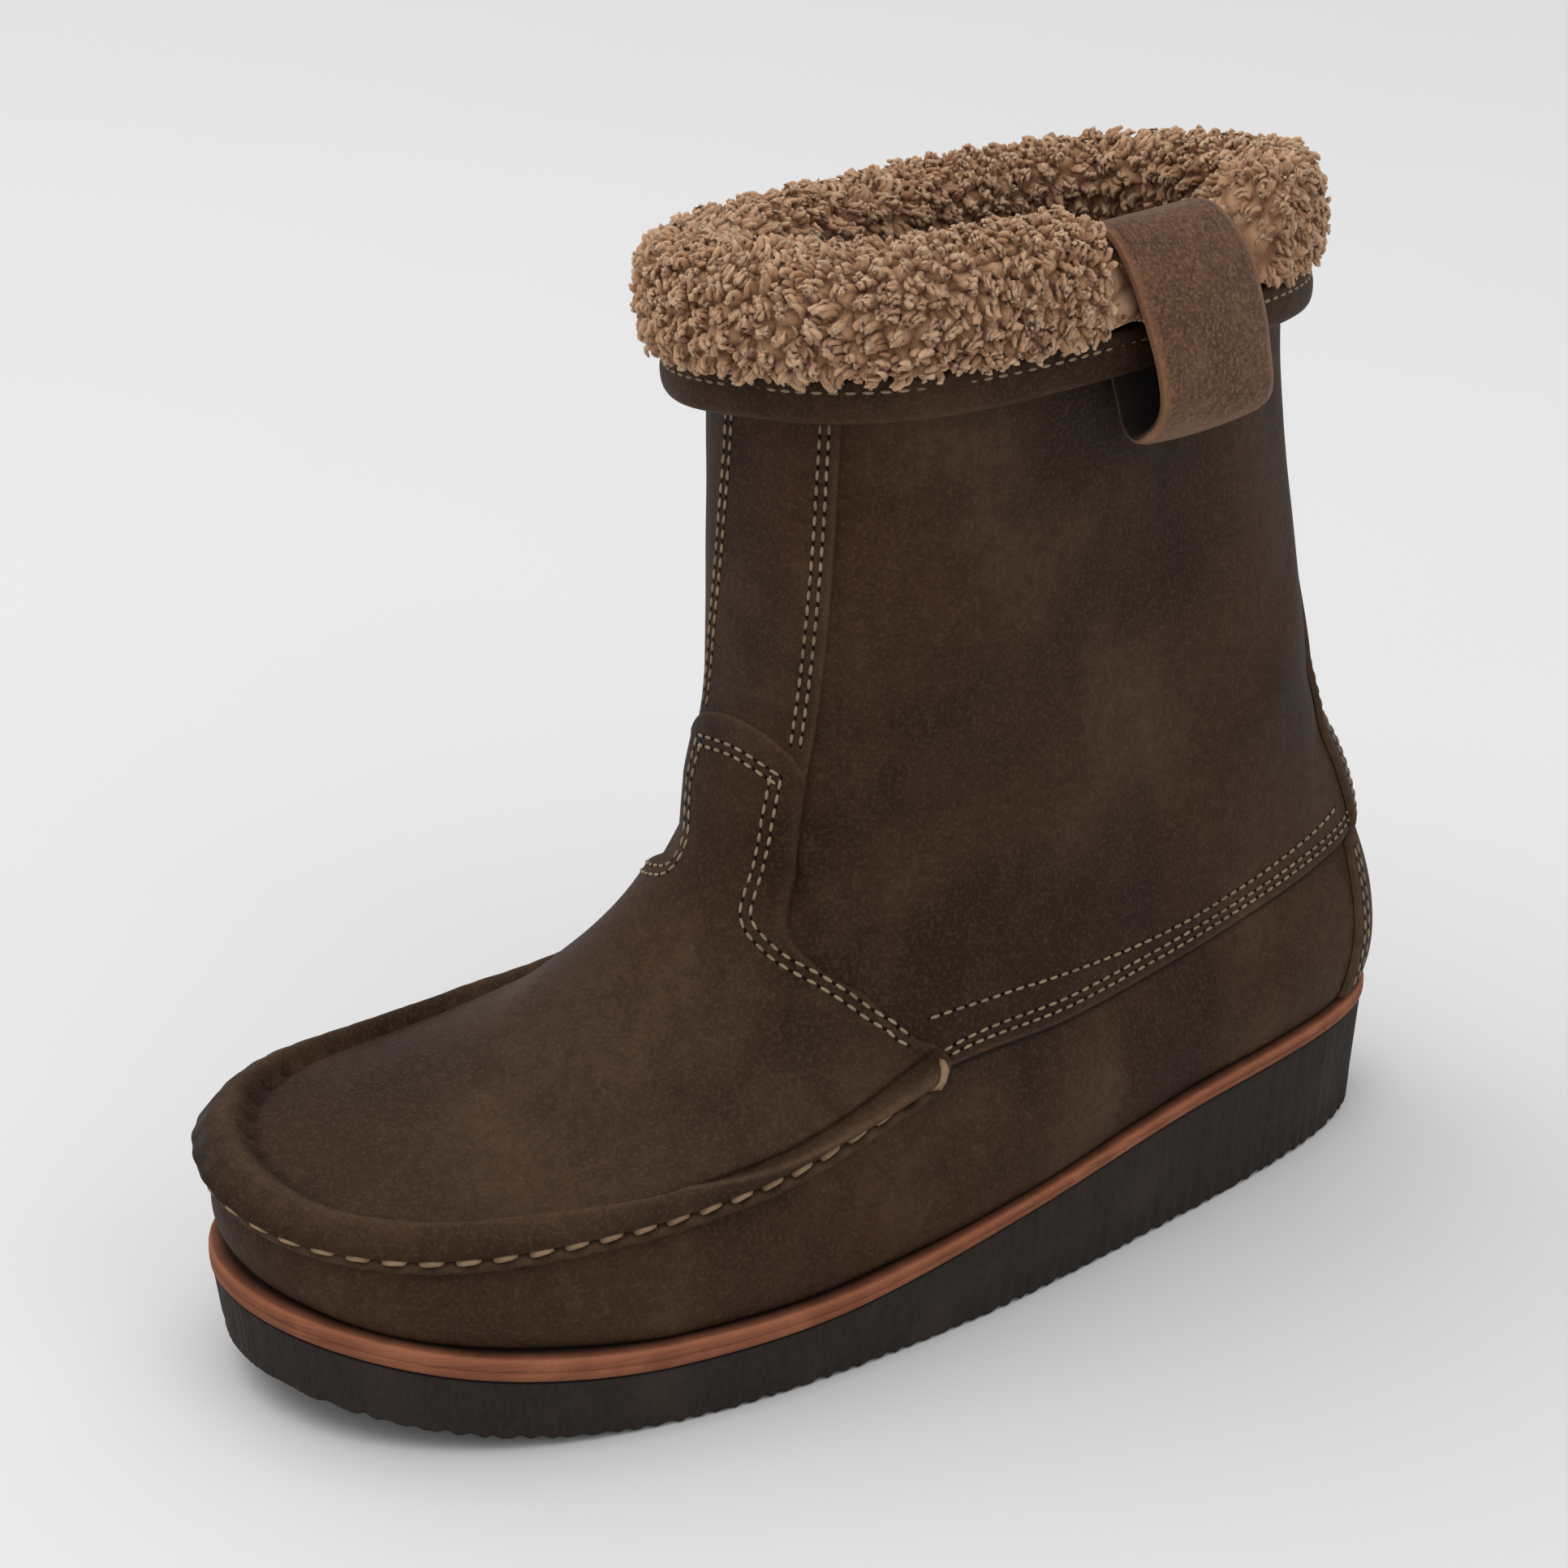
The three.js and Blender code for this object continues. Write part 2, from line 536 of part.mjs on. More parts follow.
// Pull loop: a suede strap from inside the shaft, over the pressed fleece and back up behind the hem.
function loopPath(u) {
  const inside = leatherIn - FLEECE_LINING / 2 - TUFT - CLEARANCE;
  const over = FLEECE_CROWN * 0.15 + 2 * CLEARANCE;
  const behind = leatherOut + LOOP_THICKNESS + CLEARANCE / 3;
  const foot = hemFoot - LOOP_DROP + LOOP_THICKNESS;
  return [
    [inside, -24],
    [inside, -8],
    [inside + 1.6, -0.5],
    [inside * 0.45, over],
    [leatherOut, over],
    [LOOP_BELLY * 0.43, -3.6],
    [LOOP_BELLY * 0.66, -CUFF_DROP * 0.68],
    [LOOP_BELLY * 0.87, -CUFF_DROP - 4],
    [LOOP_BELLY * 0.97, hemFoot - 0.5],
    [LOOP_BELLY, hemFoot - LOOP_DROP * 0.36],
    [LOOP_BELLY * 0.94, hemFoot - LOOP_DROP * 0.6],
    [LOOP_BELLY * 0.8, foot + 1.2],
    [LOOP_BELLY * 0.65, foot],
    [LOOP_BELLY * 0.5, foot + 1.4],
    [LOOP_BELLY * 0.38, hemFoot - LOOP_DROP * 0.45],
    [behind + 0.3, hemFoot - 1.6],
    [behind, hemFoot + 2],
    [behind, hemFoot + HEM_HEIGHT - 1.5],
  ].map(([out, up]) => new THREE.Vector2(out, up));
}
function loopSection(u) {
  const path = loopPath(u);
  const off = path.map((point, i) => {
    const ahead = path[Math.min(i + 1, path.length - 1)];
    const behind = path[Math.max(i - 1, 0)];
    const run = ahead.clone().sub(behind).normalize();
    return point.clone().add(new THREE.Vector2(-run.y, run.x).multiplyScalar(LOOP_THICKNESS));
  });
  return [...off, ...path.reverse()].map(({ x, y }) => cuffPoint(u, x, y));
}
const LOOP_STEPS = 4;
const loop = bar(
  "pull_loop",
  Array.from({ length: LOOP_STEPS + 1 }, (_, i) =>
    loopSection(LOOP_PLACE + lerp(-loopHalf, loopHalf, i / LOOP_STEPS)),
  ),
  "#64503e",
  0.9,
);

const boot = new THREE.Group();
boot.name = "mukluk_boot";
boot.add(
  outsole,
  midsole,
  insole,
  upper,
  vamp,
  strip,
  backstay,
  counter,
  cuff,
  hem,
  loop,
);
export default boot;
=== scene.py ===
"""A pull-on mukluk boot for the left foot: leather, stitching, fleece cuff, pull loop and rubber sole."""

import math

import bpy
import numpy as np
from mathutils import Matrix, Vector
from mathutils.kdtree import KDTree


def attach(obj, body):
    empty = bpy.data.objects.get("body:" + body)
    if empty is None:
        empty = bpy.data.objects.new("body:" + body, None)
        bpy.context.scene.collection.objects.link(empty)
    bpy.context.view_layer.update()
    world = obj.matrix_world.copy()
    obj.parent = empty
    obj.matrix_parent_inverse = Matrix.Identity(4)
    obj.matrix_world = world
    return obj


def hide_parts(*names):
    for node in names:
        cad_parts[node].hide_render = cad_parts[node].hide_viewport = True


bl_info = {
    "name": "Mukluk Boot",
    "version": (1, 0, 0),
    "blender": (4, 5, 0),
    "location": "View3D > Sidebar > Boot",
    "description": "Leather, stitching, fleece, pull loop and sole of a pull-on boot",
    "category": "Object",
}

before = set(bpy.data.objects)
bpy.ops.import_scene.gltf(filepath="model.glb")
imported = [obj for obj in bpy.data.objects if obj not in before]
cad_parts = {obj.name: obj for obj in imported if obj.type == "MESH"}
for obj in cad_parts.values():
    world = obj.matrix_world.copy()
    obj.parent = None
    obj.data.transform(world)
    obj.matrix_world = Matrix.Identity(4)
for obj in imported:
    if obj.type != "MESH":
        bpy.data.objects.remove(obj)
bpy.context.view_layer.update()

# Sizes in millimetres and turns in degrees. A place on the upper is a way round, from -1 to 1, and a row,
# from 0 at the wall's foot to 3 at the collar. +Z is up, the toe points along -Y, the outer side is +X.
LENGTH = 300.0
BALL_WIDTH = 107.0
ANKLE_STATION = 100.0
HEEL_CENTRE = 36.0
TOE_SWING = 2.0
HEEL_STACK = 29.0
FOREFOOT_STACK = 15.0
TOE_SPRING = 10.0
SOLE_UNDERCUT = 2.0
MIDSOLE_THICKNESS = 5.5
MIDSOLE_LIP = 0.5
FEATHER_INSET = 3.6
INSOLE_THICKNESS = 4.0
WALL_THICKNESS = 2.2
WALL_HEIGHT = 44.0
WALL_BULGE = 3.0
COLLAR_HEIGHT = 234.0
COLLAR_TILT_OUT = 6.5
COLLAR_TILT_FRONT = 2.0
THROAT_HEIGHT = 119.0
SHAFT_WIDTH = 80.0
SHAFT_TURN = 11.0
QUARTER_STEP = 0.9
OVERLAY_THICKNESS = 1.5
TRIM_THICKNESS = 1.1
SEAM_ROLL = 4.0
STRIP_START = 2.08
TAB_ROUND = 0.1
STRIP_DRIFT = 0.03
FLEECE_FRONT = 16.0
FLEECE_BACK = 9.5
FLEECE_LINING = 9.0
FLEECE_CROWN = 9.5
FLEECE_SINK = 2.6
CUFF_DROP = 15.5
LINING_DROP = 40.0
HEM_HEIGHT = 10.0
HEM_THICKNESS = 3.0
HEM_STANDOFF = 4.6
LOOP_WIDTH = 36.5
LOOP_THICKNESS = 2.4
LOOP_DROP = 15.0
LOOP_BELLY = 16.2
LOOP_PLACE = 0.673
LOOP_PRESS = 0.03
TUFT = 1.2
HAND_PITCH = 7.4
SEAM_END = 0.485
SEAM_REACH = 0.49
CLEARANCE = 0.3
OVERLAY_SEAT = 0.6
VAMP_SINK = 0.35
TRIM_SINK = 0.4


def table(columns, *rows):
    """Named columns from rows of numbers."""
    values = np.array(rows, float)
    return {name: values[:, i] for i, name in enumerate(columns.split())}


# Outline of the sole by the angle round it, from the heel's back to the toe's tip, over the angle's sine.
OUTLINE = table(
    "angle outer inner",
    (0, 0.676, 0.666), (30, 0.518, 0.509), (60, 0.481, 0.366), (90, 0.552, 0.396),
    (120, 0.646, 0.494), (150, 0.733, 0.678), (180, 0.762, 0.782),
)
# Along the sole by shares of its length: rubber from heel to forefoot, the toe's lift, the midsole.
SOLE = table(
    "share stack lift midsole",
    (0.0, 1.0, 0.0, 0.75), (0.25, 1.0, 0.0, 0.64), (0.45, 0.55, 0.0, 0.64), (0.62, 0.07, 0.0, 0.85),
    (0.76, 0.0, 0.0, 1.0), (0.88, 0.0, 0.32, 1.0), (1.0, 0.0, 1.0, 1.0),
)
# Moccasin wall by the same angle: height outside and inside, inset of its foot, lean of its top.
WALL = table(
    "angle outer inner inset lean",
    (0, 0.9, 0.9, 0.75, -0.08), (30, 0.875, 0.875, 0.6, -0.1), (60, 0.79, 0.79, 0.5, -0.1),
    (76, 0.81, 0.84, 0.5, -0.1), (92, 0.9, 0.95, 0.6, -0.1), (110, 0.71, 0.78, 0.8, -0.09),
    (130, 0.58, 0.68, 1.0, -0.05), (150, 0.44, 0.6, 1.0, 0.0), (165, 0.41, 0.54, 1.0, 0.08),
    (180, 0.46, 0.46, 1.0, 0.12),
)
# From the seam to the ankle: two controls as shares of the way in and up, and the shaft's angle it meets.
RISE = table(
    "angle in1 up1 in2 up2 lands",
    (0, 0.06, 0.33, 0.78, 0.68, 180), (45, 0.12, 0.33, 0.78, 0.68, 118), (80, 0.22, 0.33, 0.82, 0.66, 66),
    (100, 0.34, 0.22, 0.9, 0.56, 47), (130, 0.5, 0.06, 0.93, 0.38, 28), (155, 0.58, 0.03, 0.96, 0.35, 14),
    (180, 0.62, 0.05, 0.97, 0.37, 0),
)
# Sections of the shaft from ankle to collar.
SHAFT = table(
    "rise front back width offset turn square",
    (0.0, 0.614, 0.084, 1.04, 0.02, 0.45, 2.4), (0.16, 0.604, 0.096, 1.0, 0.03, 0.6, 2.6),
    (0.4, 0.602, 0.11, 0.98, 0.03, 0.8, 2.8), (0.7, 0.602, 0.13, 0.98, 0.03, 0.95, 2.9),
    (1.0, 0.602, 0.142, 1.0, 0.03, 1.0, 2.9),
)
# Half width of the vamp, as a share of the way round, by rows of the upper.
VAMP = table(
    "row half",
    (0.93, 0.485), (1.12, 0.485), (1.3, 0.45), (1.45, 0.41), (1.66, 0.315), (1.76, 0.215),
    (1.83, 0.15), (1.92, 0.14), (2.08, 0.135),
)
# Fleece cuff's section, from its lower edge outside over the top to its lower edge inside.
# The last two columns give the same section where the pull loop presses the fleece flat.
CUFF = table(
    "out up pressed_out pressed_up",
    (0.45, -1.0, 0.45, -1.0), (0.8, -1.02, 0.7, -1.02), (0.97, -0.75, 0.74, -0.8), (1.0, -0.25, 0.46, -0.46),
    (0.93, 0.3, 0.19, -0.16), (0.62, 0.82, 0.03, 0.1), (0.15, 1.0, 0.01, 0.15), (-0.45, 0.82, -0.22, 0.12),
    (-0.85, 0.3, -0.38, -0.03), (-1.0, -0.2, -0.45, -0.16), (-1.0, -0.6, -0.48, -0.6),
    (-0.8, -0.95, -0.46, -0.95), (-0.3, -1.0, -0.3, -1.0),
)
# Creases worn into the leather: places as (way round, row), depth and width in millimetres.
CREASES = (
    ([(-0.30, 1.30), (-0.10, 1.36), (0.12, 1.38), (0.30, 1.30)], -0.7, 7.0),
    ([(-0.25, 1.22), (0.0, 1.25), (0.22, 1.20)], -0.45, 5.0),
    ([(-0.20, 1.50), (0.02, 1.56), (0.20, 1.50)], -0.6, 8.0),
    ([(-0.13, 1.86), (0.0, 1.92), (0.12, 1.86)], -0.9, 6.0),
    ([(0.14, 1.86), (0.20, 1.93), (0.30, 2.02), (0.42, 2.06)], -1.1, 7.0),
    ([(0.18, 1.78), (0.26, 1.84), (0.36, 1.86)], 0.9, 5.0),
    ([(-0.14, 1.86), (-0.22, 1.95), (-0.36, 2.05)], -1.1, 7.0),
    ([(0.55, 1.62), (0.66, 1.80), (0.74, 2.05)], -0.9, 10.0),
    ([(0.45, 2.25), (0.60, 2.32), (0.72, 2.50)], -0.8, 12.0),
    ([(0.32, 2.15), (0.36, 2.45), (0.34, 2.72)], 0.9, 13.0),
    ([(0.80, 2.05), (0.88, 2.30), (0.86, 2.60)], -0.9, 10.0),
    ([(-0.55, 1.62), (-0.66, 1.85), (-0.80, 2.05)], -1.0, 10.0),
    ([(-0.40, 2.20), (-0.55, 2.40), (-0.60, 2.65)], -0.9, 13.0),
    ([(0.90, 1.60), (0.985, 1.72), (-0.93, 1.66)], -0.8, 7.0),
    ([(0.137, 1.92), (0.15, 1.86), (0.19, 1.82)], -1.2, 2.6),
    ([(0.15, 1.95), (0.18, 1.89), (0.23, 1.85)], 0.8, 3.0),
    ([(0.16, 1.99), (0.21, 1.93), (0.28, 1.90)], -0.9, 3.2),
    ([(0.158, 2.25), (0.152, 2.5), (0.162, 2.78)], -0.5, 2.4),
)


def along(rows, key, column, at):
    """A smooth curve through one column of a table, by another."""
    x_all, y_all = rows[key], rows[column]
    last = len(x_all) - 1
    x = np.clip(at, x_all[0], x_all[-1])
    i = np.clip(np.searchsorted(x_all, x, side="left") - 1, 0, last - 1)

    def slope(k):
        a, b = np.maximum(k - 1, 0), np.minimum(k + 1, last)
        return (y_all[b] - y_all[a]) / (x_all[b] - x_all[a])

    span = x_all[i + 1] - x_all[i]
    s = (x - x_all[i]) / span
    ease = span * s * (1 - s) * ((1 - s) * slope(i) - s * slope(i + 1))
    return y_all[i] + (y_all[i + 1] - y_all[i]) * s * s * (3 - 2 * s) + ease


def wrap(u):
    return np.mod(np.asarray(u, float) + 1, 2) - 1


def angle_of(u):
    return 180 * (1 - np.abs(u))


def smooth(x, low, high):
    t = np.clip((np.asarray(x, float) - low) / (high - low), 0, 1)
    return t * t * (3 - 2 * t)


def unit(v):
    return v / np.maximum(np.linalg.norm(v, axis=-1, keepdims=True), 1e-9)


def outline_point(u):
    a = angle_of(u)
    side = np.where(u < 0, along(OUTLINE, "angle", "inner", a), along(OUTLINE, "angle", "outer", a))
    off = np.sign(u) * np.sin(np.radians(a)) * side * BALL_WIDTH
    station = LENGTH / 2 * (1 - np.cos(np.radians(a))) - HEEL_CENTRE
    c, s = math.cos(math.radians(TOE_SWING)), math.sin(math.radians(TOE_SWING))
    return np.stack([off * c - station * s, off * s + station * c + HEEL_CENTRE], -1)


def outline(u, outwards):
    """The sole's outline moved outwards, as the side offset and the station."""
    run = unit(outline_point(wrap(u + 0.004)) - outline_point(wrap(u - 0.004)))
    side = np.stack([-run[..., 1], run[..., 0]], -1)
    return outline_point(wrap(u)) + side * np.asarray(outwards)[..., None]


def station_of(u):
    return outline_point(wrap(u))[..., 1]


def lift(station):
    return TOE_SPRING * np.maximum(along(SOLE, "share", "lift", station / LENGTH), 0)


def rubber_top(station):
    stack = along(SOLE, "share", "stack", station / LENGTH)
    return FOREFOOT_STACK + (HEEL_STACK - FOREFOOT_STACK) * stack + lift(station)


def midsole_top(station):
    thick = MIDSOLE_THICKNESS * along(SOLE, "share", "midsole", station / LENGTH)
    return rubber_top(station) + CLEARANCE + thick


def place(plan, z):
    return np.stack([plan[..., 0], ANKLE_STATION - plan[..., 1], z + 0 * plan[..., 0]], -1)


def wall_point(u, row):
    a = angle_of(u)
    side = np.where(u < 0, along(WALL, "angle", "inner", a), along(WALL, "angle", "outer", a))
    height = WALL_HEIGHT * side
    inset = FEATHER_INSET * along(WALL, "angle", "inset", a)
    lean = height * along(WALL, "angle", "lean", a)
    swell = WALL_BULGE * np.sin(np.pi * np.maximum(row, 0) ** 0.75)
    plan = outline(u, -inset + lean * row * row + swell)
    return place(plan, midsole_top(station_of(u)) + CLEARANCE + height * row)


def shaft_point(degrees, rise):
    def at(column):
        return along(SHAFT, "rise", column, rise)

    length = (at("front") - at("back")) * LENGTH / 2
    width = at("width") * SHAFT_WIDTH / 2
    across, ahead, power = np.sin(np.radians(degrees)), np.cos(np.radians(degrees)), at("square")
    reach = ((np.abs(across) / width) ** power + (np.abs(ahead) / length) ** power) ** (-1 / power)
    x, y = across * reach, ahead * reach
    turn = -np.radians(SHAFT_TURN * at("turn"))
    plan = np.stack([
        x * np.cos(turn) - y * np.sin(turn) + at("offset") * SHAFT_WIDTH,
        x * np.sin(turn) + y * np.cos(turn) + (at("front") + at("back")) * LENGTH / 2,
    ], -1)
    tilt = rise * rise * (COLLAR_TILT_OUT * x / width + COLLAR_TILT_FRONT * y / length)
    return place(plan, THROAT_HEIGHT + (COLLAR_HEIGHT - THROAT_HEIGHT) * rise + tilt)


def lands(u):
    u = wrap(u)
    return np.where(u < 0, -1, 1) * along(RISE, "angle", "lands", angle_of(u))


def upper_point(u, row):
    """The upper's smooth outer face: rows 0 to 1 are the wall, 1 to 2 the instep, 2 to 3 the shaft."""
    u, row = np.broadcast_arrays(wrap(u), np.asarray(row, float))
    a, degrees = angle_of(u), lands(u)
    wall = wall_point(u, np.clip(row, 0, 1))
    shaft = shaft_point(degrees, np.clip(row - 2, 0, 1))
    start, end = wall_point(u, np.ones_like(u)), shaft_point(degrees, np.zeros_like(u))
    s = np.clip(row - 1, 0, 1)[..., None]

    def control(inwards, upwards):
        flat = start[..., :2] + (end[..., :2] - start[..., :2]) * along(RISE, "angle", inwards, a)[..., None]
        high = start[..., 2:] + (end[..., 2:] - start[..., 2:]) * along(RISE, "angle", upwards, a)[..., None]
        return np.concatenate([flat, high], -1)

    one, two = control("in1", "up1"), control("in2", "up2")
    rise = (1 - s) ** 3 * start + 3 * (1 - s) ** 2 * s * one + 3 * (1 - s) * s * s * two + s ** 3 * end
    r = row[..., None]
    return np.where(r <= 1, wall, np.where(r >= 2, shaft, rise))


def upper_normal(u, row):
    u, row = np.broadcast_arrays(wrap(u), np.asarray(row, float))
    low, high = np.clip(row - 0.012, 0, 3), np.clip(row + 0.012, 0, 3)
    run = upper_point(u + 0.006, row) - upper_point(u - 0.006, row)
    rise = upper_point(u, high) - upper_point(u, low)
    return unit(np.cross(run, rise))


def from_line(points, line):
    """Distance from points to a run of straight pieces."""
    best = np.full(points.shape[:-1], 1e9)
    for a, b in zip(line[:-1], line[1:]):
        d = b - a
        t = np.clip(((points - a) @ d) / max(float(d @ d), 1e-9), 0, 1)
        best = np.minimum(best, np.linalg.norm(points - a - t[..., None] * d, axis=-1))
    return best


def spline(points, count):
    """A smooth curve through a few points, with even steps of its parameter."""
    p = np.asarray(points, float)
    t = np.linspace(0, len(p) - 1, count)
    i = np.minimum(t.astype(int), len(p) - 2)
    s = (t - i)[:, None]
    before, after = np.maximum(i - 1, 0), np.minimum(i + 2, len(p) - 1)
    m0, m1 = (p[i + 1] - p[before]) / 2, (p[after] - p[i]) / 2
    return ((2 * s ** 3 - 3 * s ** 2 + 1) * p[i] + (s ** 3 - 2 * s ** 2 + s) * m0
            + (3 * s ** 2 - 2 * s ** 3) * p[i + 1] + (s ** 3 - s ** 2) * m1)


def travelled(line):
    """How far each point of a line is along it."""
    return np.concatenate([[0], np.cumsum(np.linalg.norm(np.diff(line, axis=0), axis=-1))])


def even(points, pitch):
    """Places along a curve at an even pitch, as fractions of its index."""
    far = travelled(points)
    count = max(int(far[-1] / pitch), 1)
    return np.interp((np.arange(count) + 0.5) / count * far[-1], far, np.arange(len(far)))


def slack(points):
    """Broad unevenness of hand-lasted leather, in millimetres, from its place alone."""
    x, y, z = points[..., 0], points[..., 1], points[..., 2]
    broad = np.sin(x / 17 + y / 23 + 1.3) * np.sin(z / 19 - y / 31 + 0.4)
    small = np.sin(x / 6.1 - z / 7.3 + 2.0) * np.sin(y / 6.7 + z / 8.9)
    return 0.55 * broad + 0.1 * small


WORN_LINES = []


def worn_in(points):
    """How far creases and slack move the leather, in millimetres."""
    if not WORN_LINES:
        for spots, depth, width in CREASES:
            line = spline([upper_point(*spot) for spot in spots], 14)
            WORN_LINES.append((line, depth, width))
    total = slack(points)
    for line, depth, width in WORN_LINES:
        low, high = line.min(0) - 2.5 * width, line.max(0) + 2.5 * width
        near = np.all((points > low) & (points < high), axis=-1)
        if near.any():
            total[near] += depth * np.exp(-(from_line(points[near], line) / width) ** 2)
    return total


def seam_run():
    """Close places along the moccasin seam, and how far along it each is in millimetres."""
    places = np.linspace(-SEAM_REACH, SEAM_REACH, 600)
    return places, travelled(upper_point(places, 1.0))


def seam_wave(u):
    """Gathering along the moccasin seam: 1 where two stitches meet, -1 halfway along a stitch."""
    at = np.interp(np.clip(wrap(u), -SEAM_REACH, SEAM_REACH), *seam_run())
    return np.cos(2 * np.pi * at / HAND_PITCH)


def gathers(u, row):
    """The wall puckers under the hand-sewn seam."""
    inside = 1 - smooth(np.abs(u), SEAM_END - 0.04, SEAM_END + 0.01)
    fade = smooth(row, 0.45, 0.93) * (1 - smooth(row, 1.0, 1.04))
    return 0.2 * seam_wave(u) * inside * fade


def skin(u, row, out):
    """A point some millimetres off the worn upper."""
    u, row = np.broadcast_arrays(wrap(u), np.asarray(row, float))
    base = upper_point(u, row)
    move = out + worn_in(base) + gathers(u, row)
    return base + upper_normal(u, row) * np.asarray(move)[..., None]


def quarter_lap(row):
    return QUARTER_STEP * smooth(row, 0.988, 0.999)


LEATHER_OUT = QUARTER_STEP + CLEARANCE
LEATHER_IN = QUARTER_STEP - WALL_THICKNESS - 4 * CLEARANCE


def cuff_point(u, out, up):
    """Places round the cuff: out of the shaft's leather and above its top edge."""
    u, out, up = np.broadcast_arrays(wrap(u), np.asarray(out, float), np.asarray(up, float))
    rise = np.clip(1 + up / (COLLAR_HEIGHT - THROAT_HEIGHT), 0, 1)
    base = shaft_point(lands(u), rise)
    run = shaft_point(lands(u + 0.006), rise) - shaft_point(lands(u - 0.006), rise)
    normal = unit(np.stack([-run[..., 1], run[..., 0], 0 * run[..., 0]], -1)) * -1
    top = shaft_point(lands(u), np.ones_like(u))[..., 2]
    made = base + normal * out[..., None]
    made[..., 2] = top + up
    return made


def fleece_stand(u):
    share = smooth(np.abs(wrap(u)), 0.1, 0.8)
    return FLEECE_FRONT + (FLEECE_BACK - FLEECE_FRONT) * share


HEM_FOOT = -CUFF_DROP - CLEARANCE - HEM_HEIGHT


def hem_out(u):
    return HEM_STANDOFF + (fleece_stand(u) - FLEECE_BACK) * 0.35


LOOP_GIRTH = 100 * float(np.linalg.norm(
    cuff_point(LOOP_PLACE, 12, 0) - cuff_point(LOOP_PLACE + 0.01, 12, 0)))
LOOP_HALF = LOOP_WIDTH / 2 / LOOP_GIRTH


def pressed(u):
    """1 where the pull loop presses the fleece down, 0 a little beside it."""
    beside = np.abs(wrap(u - LOOP_PLACE)) - LOOP_HALF
    return 1 - smooth(beside, LOOP_PRESS * 0.8, LOOP_PRESS * 1.8)


def add_piece(name, points, faces, marks=None):
    """An object from millimetre points and faces, smooth, with its marks as vertex attributes."""
    mesh = bpy.data.meshes.new(name)
    listed = faces.tolist() if isinstance(faces, np.ndarray) else faces
    mesh.from_pydata(np.asarray(points, float).reshape(-1, 3) * 0.001, [], listed)
    mesh.update()
    for key, values in (marks or {}).items():
        layer = mesh.attributes.new(key, "FLOAT", "POINT")
        layer.data.foreach_set("value", np.ascontiguousarray(np.ravel(values), dtype=np.float32))
    mesh.polygons.foreach_set("use_smooth", np.ones(len(mesh.polygons), bool))
    piece = bpy.data.objects.new(name, mesh)
    bpy.context.scene.collection.objects.link(piece)
    face_out(piece)
    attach(piece, "root")
    return piece


def face_out(piece):
    """Turns every face outwards."""
    bpy.ops.object.select_all(action="DESELECT")
    bpy.context.view_layer.objects.active = piece
    piece.select_set(True)
    bpy.ops.object.mode_set(mode="EDIT")
    bpy.ops.mesh.select_all(action="SELECT")
    bpy.ops.mesh.normals_make_consistent(inside=False)
    bpy.ops.object.mode_set(mode="OBJECT")
    piece.select_set(False)


def grid_faces(rows, columns, close_rows=False, close_columns=False, start=0):
    """Faces of a grid of points, row after row."""
    i = np.arange(rows if close_rows else rows - 1)[:, None]
    j = np.arange(columns if close_columns else columns - 1)[None, :]
    up, right = (i + 1) % rows, (j + 1) % columns
    quads = np.stack([
        i * columns + j, i * columns + right, up * columns + right, up * columns + j,
    ], -1)
    return quads.reshape(-1, 4) + start


def bar_faces(rings, sides):
    """Faces of a closed tube of rings, with both its ends."""
    faces = grid_faces(rings, sides, close_columns=True).tolist()
    return [*faces, list(range(sides))[::-1], [(rings - 1) * sides + k for k in range(sides)]]


def shell(name, outer, inner, marks=None):
    """A closed leather piece from two grids of points that share their edge's outline."""
    rows, columns = outer.shape[:2]
    size = rows * columns
    front = grid_faces(rows, columns)
    back = grid_faces(rows, columns, start=size)[:, ::-1]
    ids = np.arange(size).reshape(rows, columns)
    edge = np.concatenate([ids[0, :-1], ids[:-1, -1], ids[-1, :0:-1], ids[:0:-1, 0]])
    ahead = np.roll(edge, -1)
    rim = np.stack([ahead, edge, edge + size, ahead + size], -1)
    points = np.concatenate([outer.reshape(-1, 3), inner.reshape(-1, 3)])
    both = {key: np.concatenate([np.ravel(v), np.ravel(v)]) for key, v in (marks or {}).items()}
    return add_piece(name, points, np.concatenate([front, back, rim]), both)


def edge_distance(points):
    """Distance in millimetres of each point of a grid from the grid's nearest edge."""
    across = np.linalg.norm(np.diff(points, axis=1), axis=-1)
    down = np.linalg.norm(np.diff(points, axis=0), axis=-1)
    zero_a, zero_d = np.zeros((points.shape[0], 1)), np.zeros((1, points.shape[1]))
    left = np.concatenate([zero_a, np.cumsum(across, 1)], 1)
    top = np.concatenate([zero_d, np.cumsum(down, 0)], 0)
    side = np.minimum(left, left[:, -1:] - left)
    end = np.minimum(top, top[-1:] - top)
    return side, end


def rounded(distance, radius):
    """Height of a rounded edge, 0 at the edge and 1 past its radius."""
    t = np.clip(1 - distance / radius, 0, 1)
    return np.sqrt(1 - t * t)


RIM = np.array([0, 0.12, 0.35, 0.7, 1.2])


def columns_for(widths, count):
    """Shares from -1 to 1 for each row, with close columns at both edges."""
    middle = np.linspace(-1, 1, count)
    made = []
    for width in widths:
        rim = RIM / max(width, 4.0)
        inner = middle * (1 - rim[-1] - 1.5 / max(width, 4.0))
        made.append(np.concatenate([-1 + rim, inner, 1 - rim[::-1]]))
    return np.array(made)


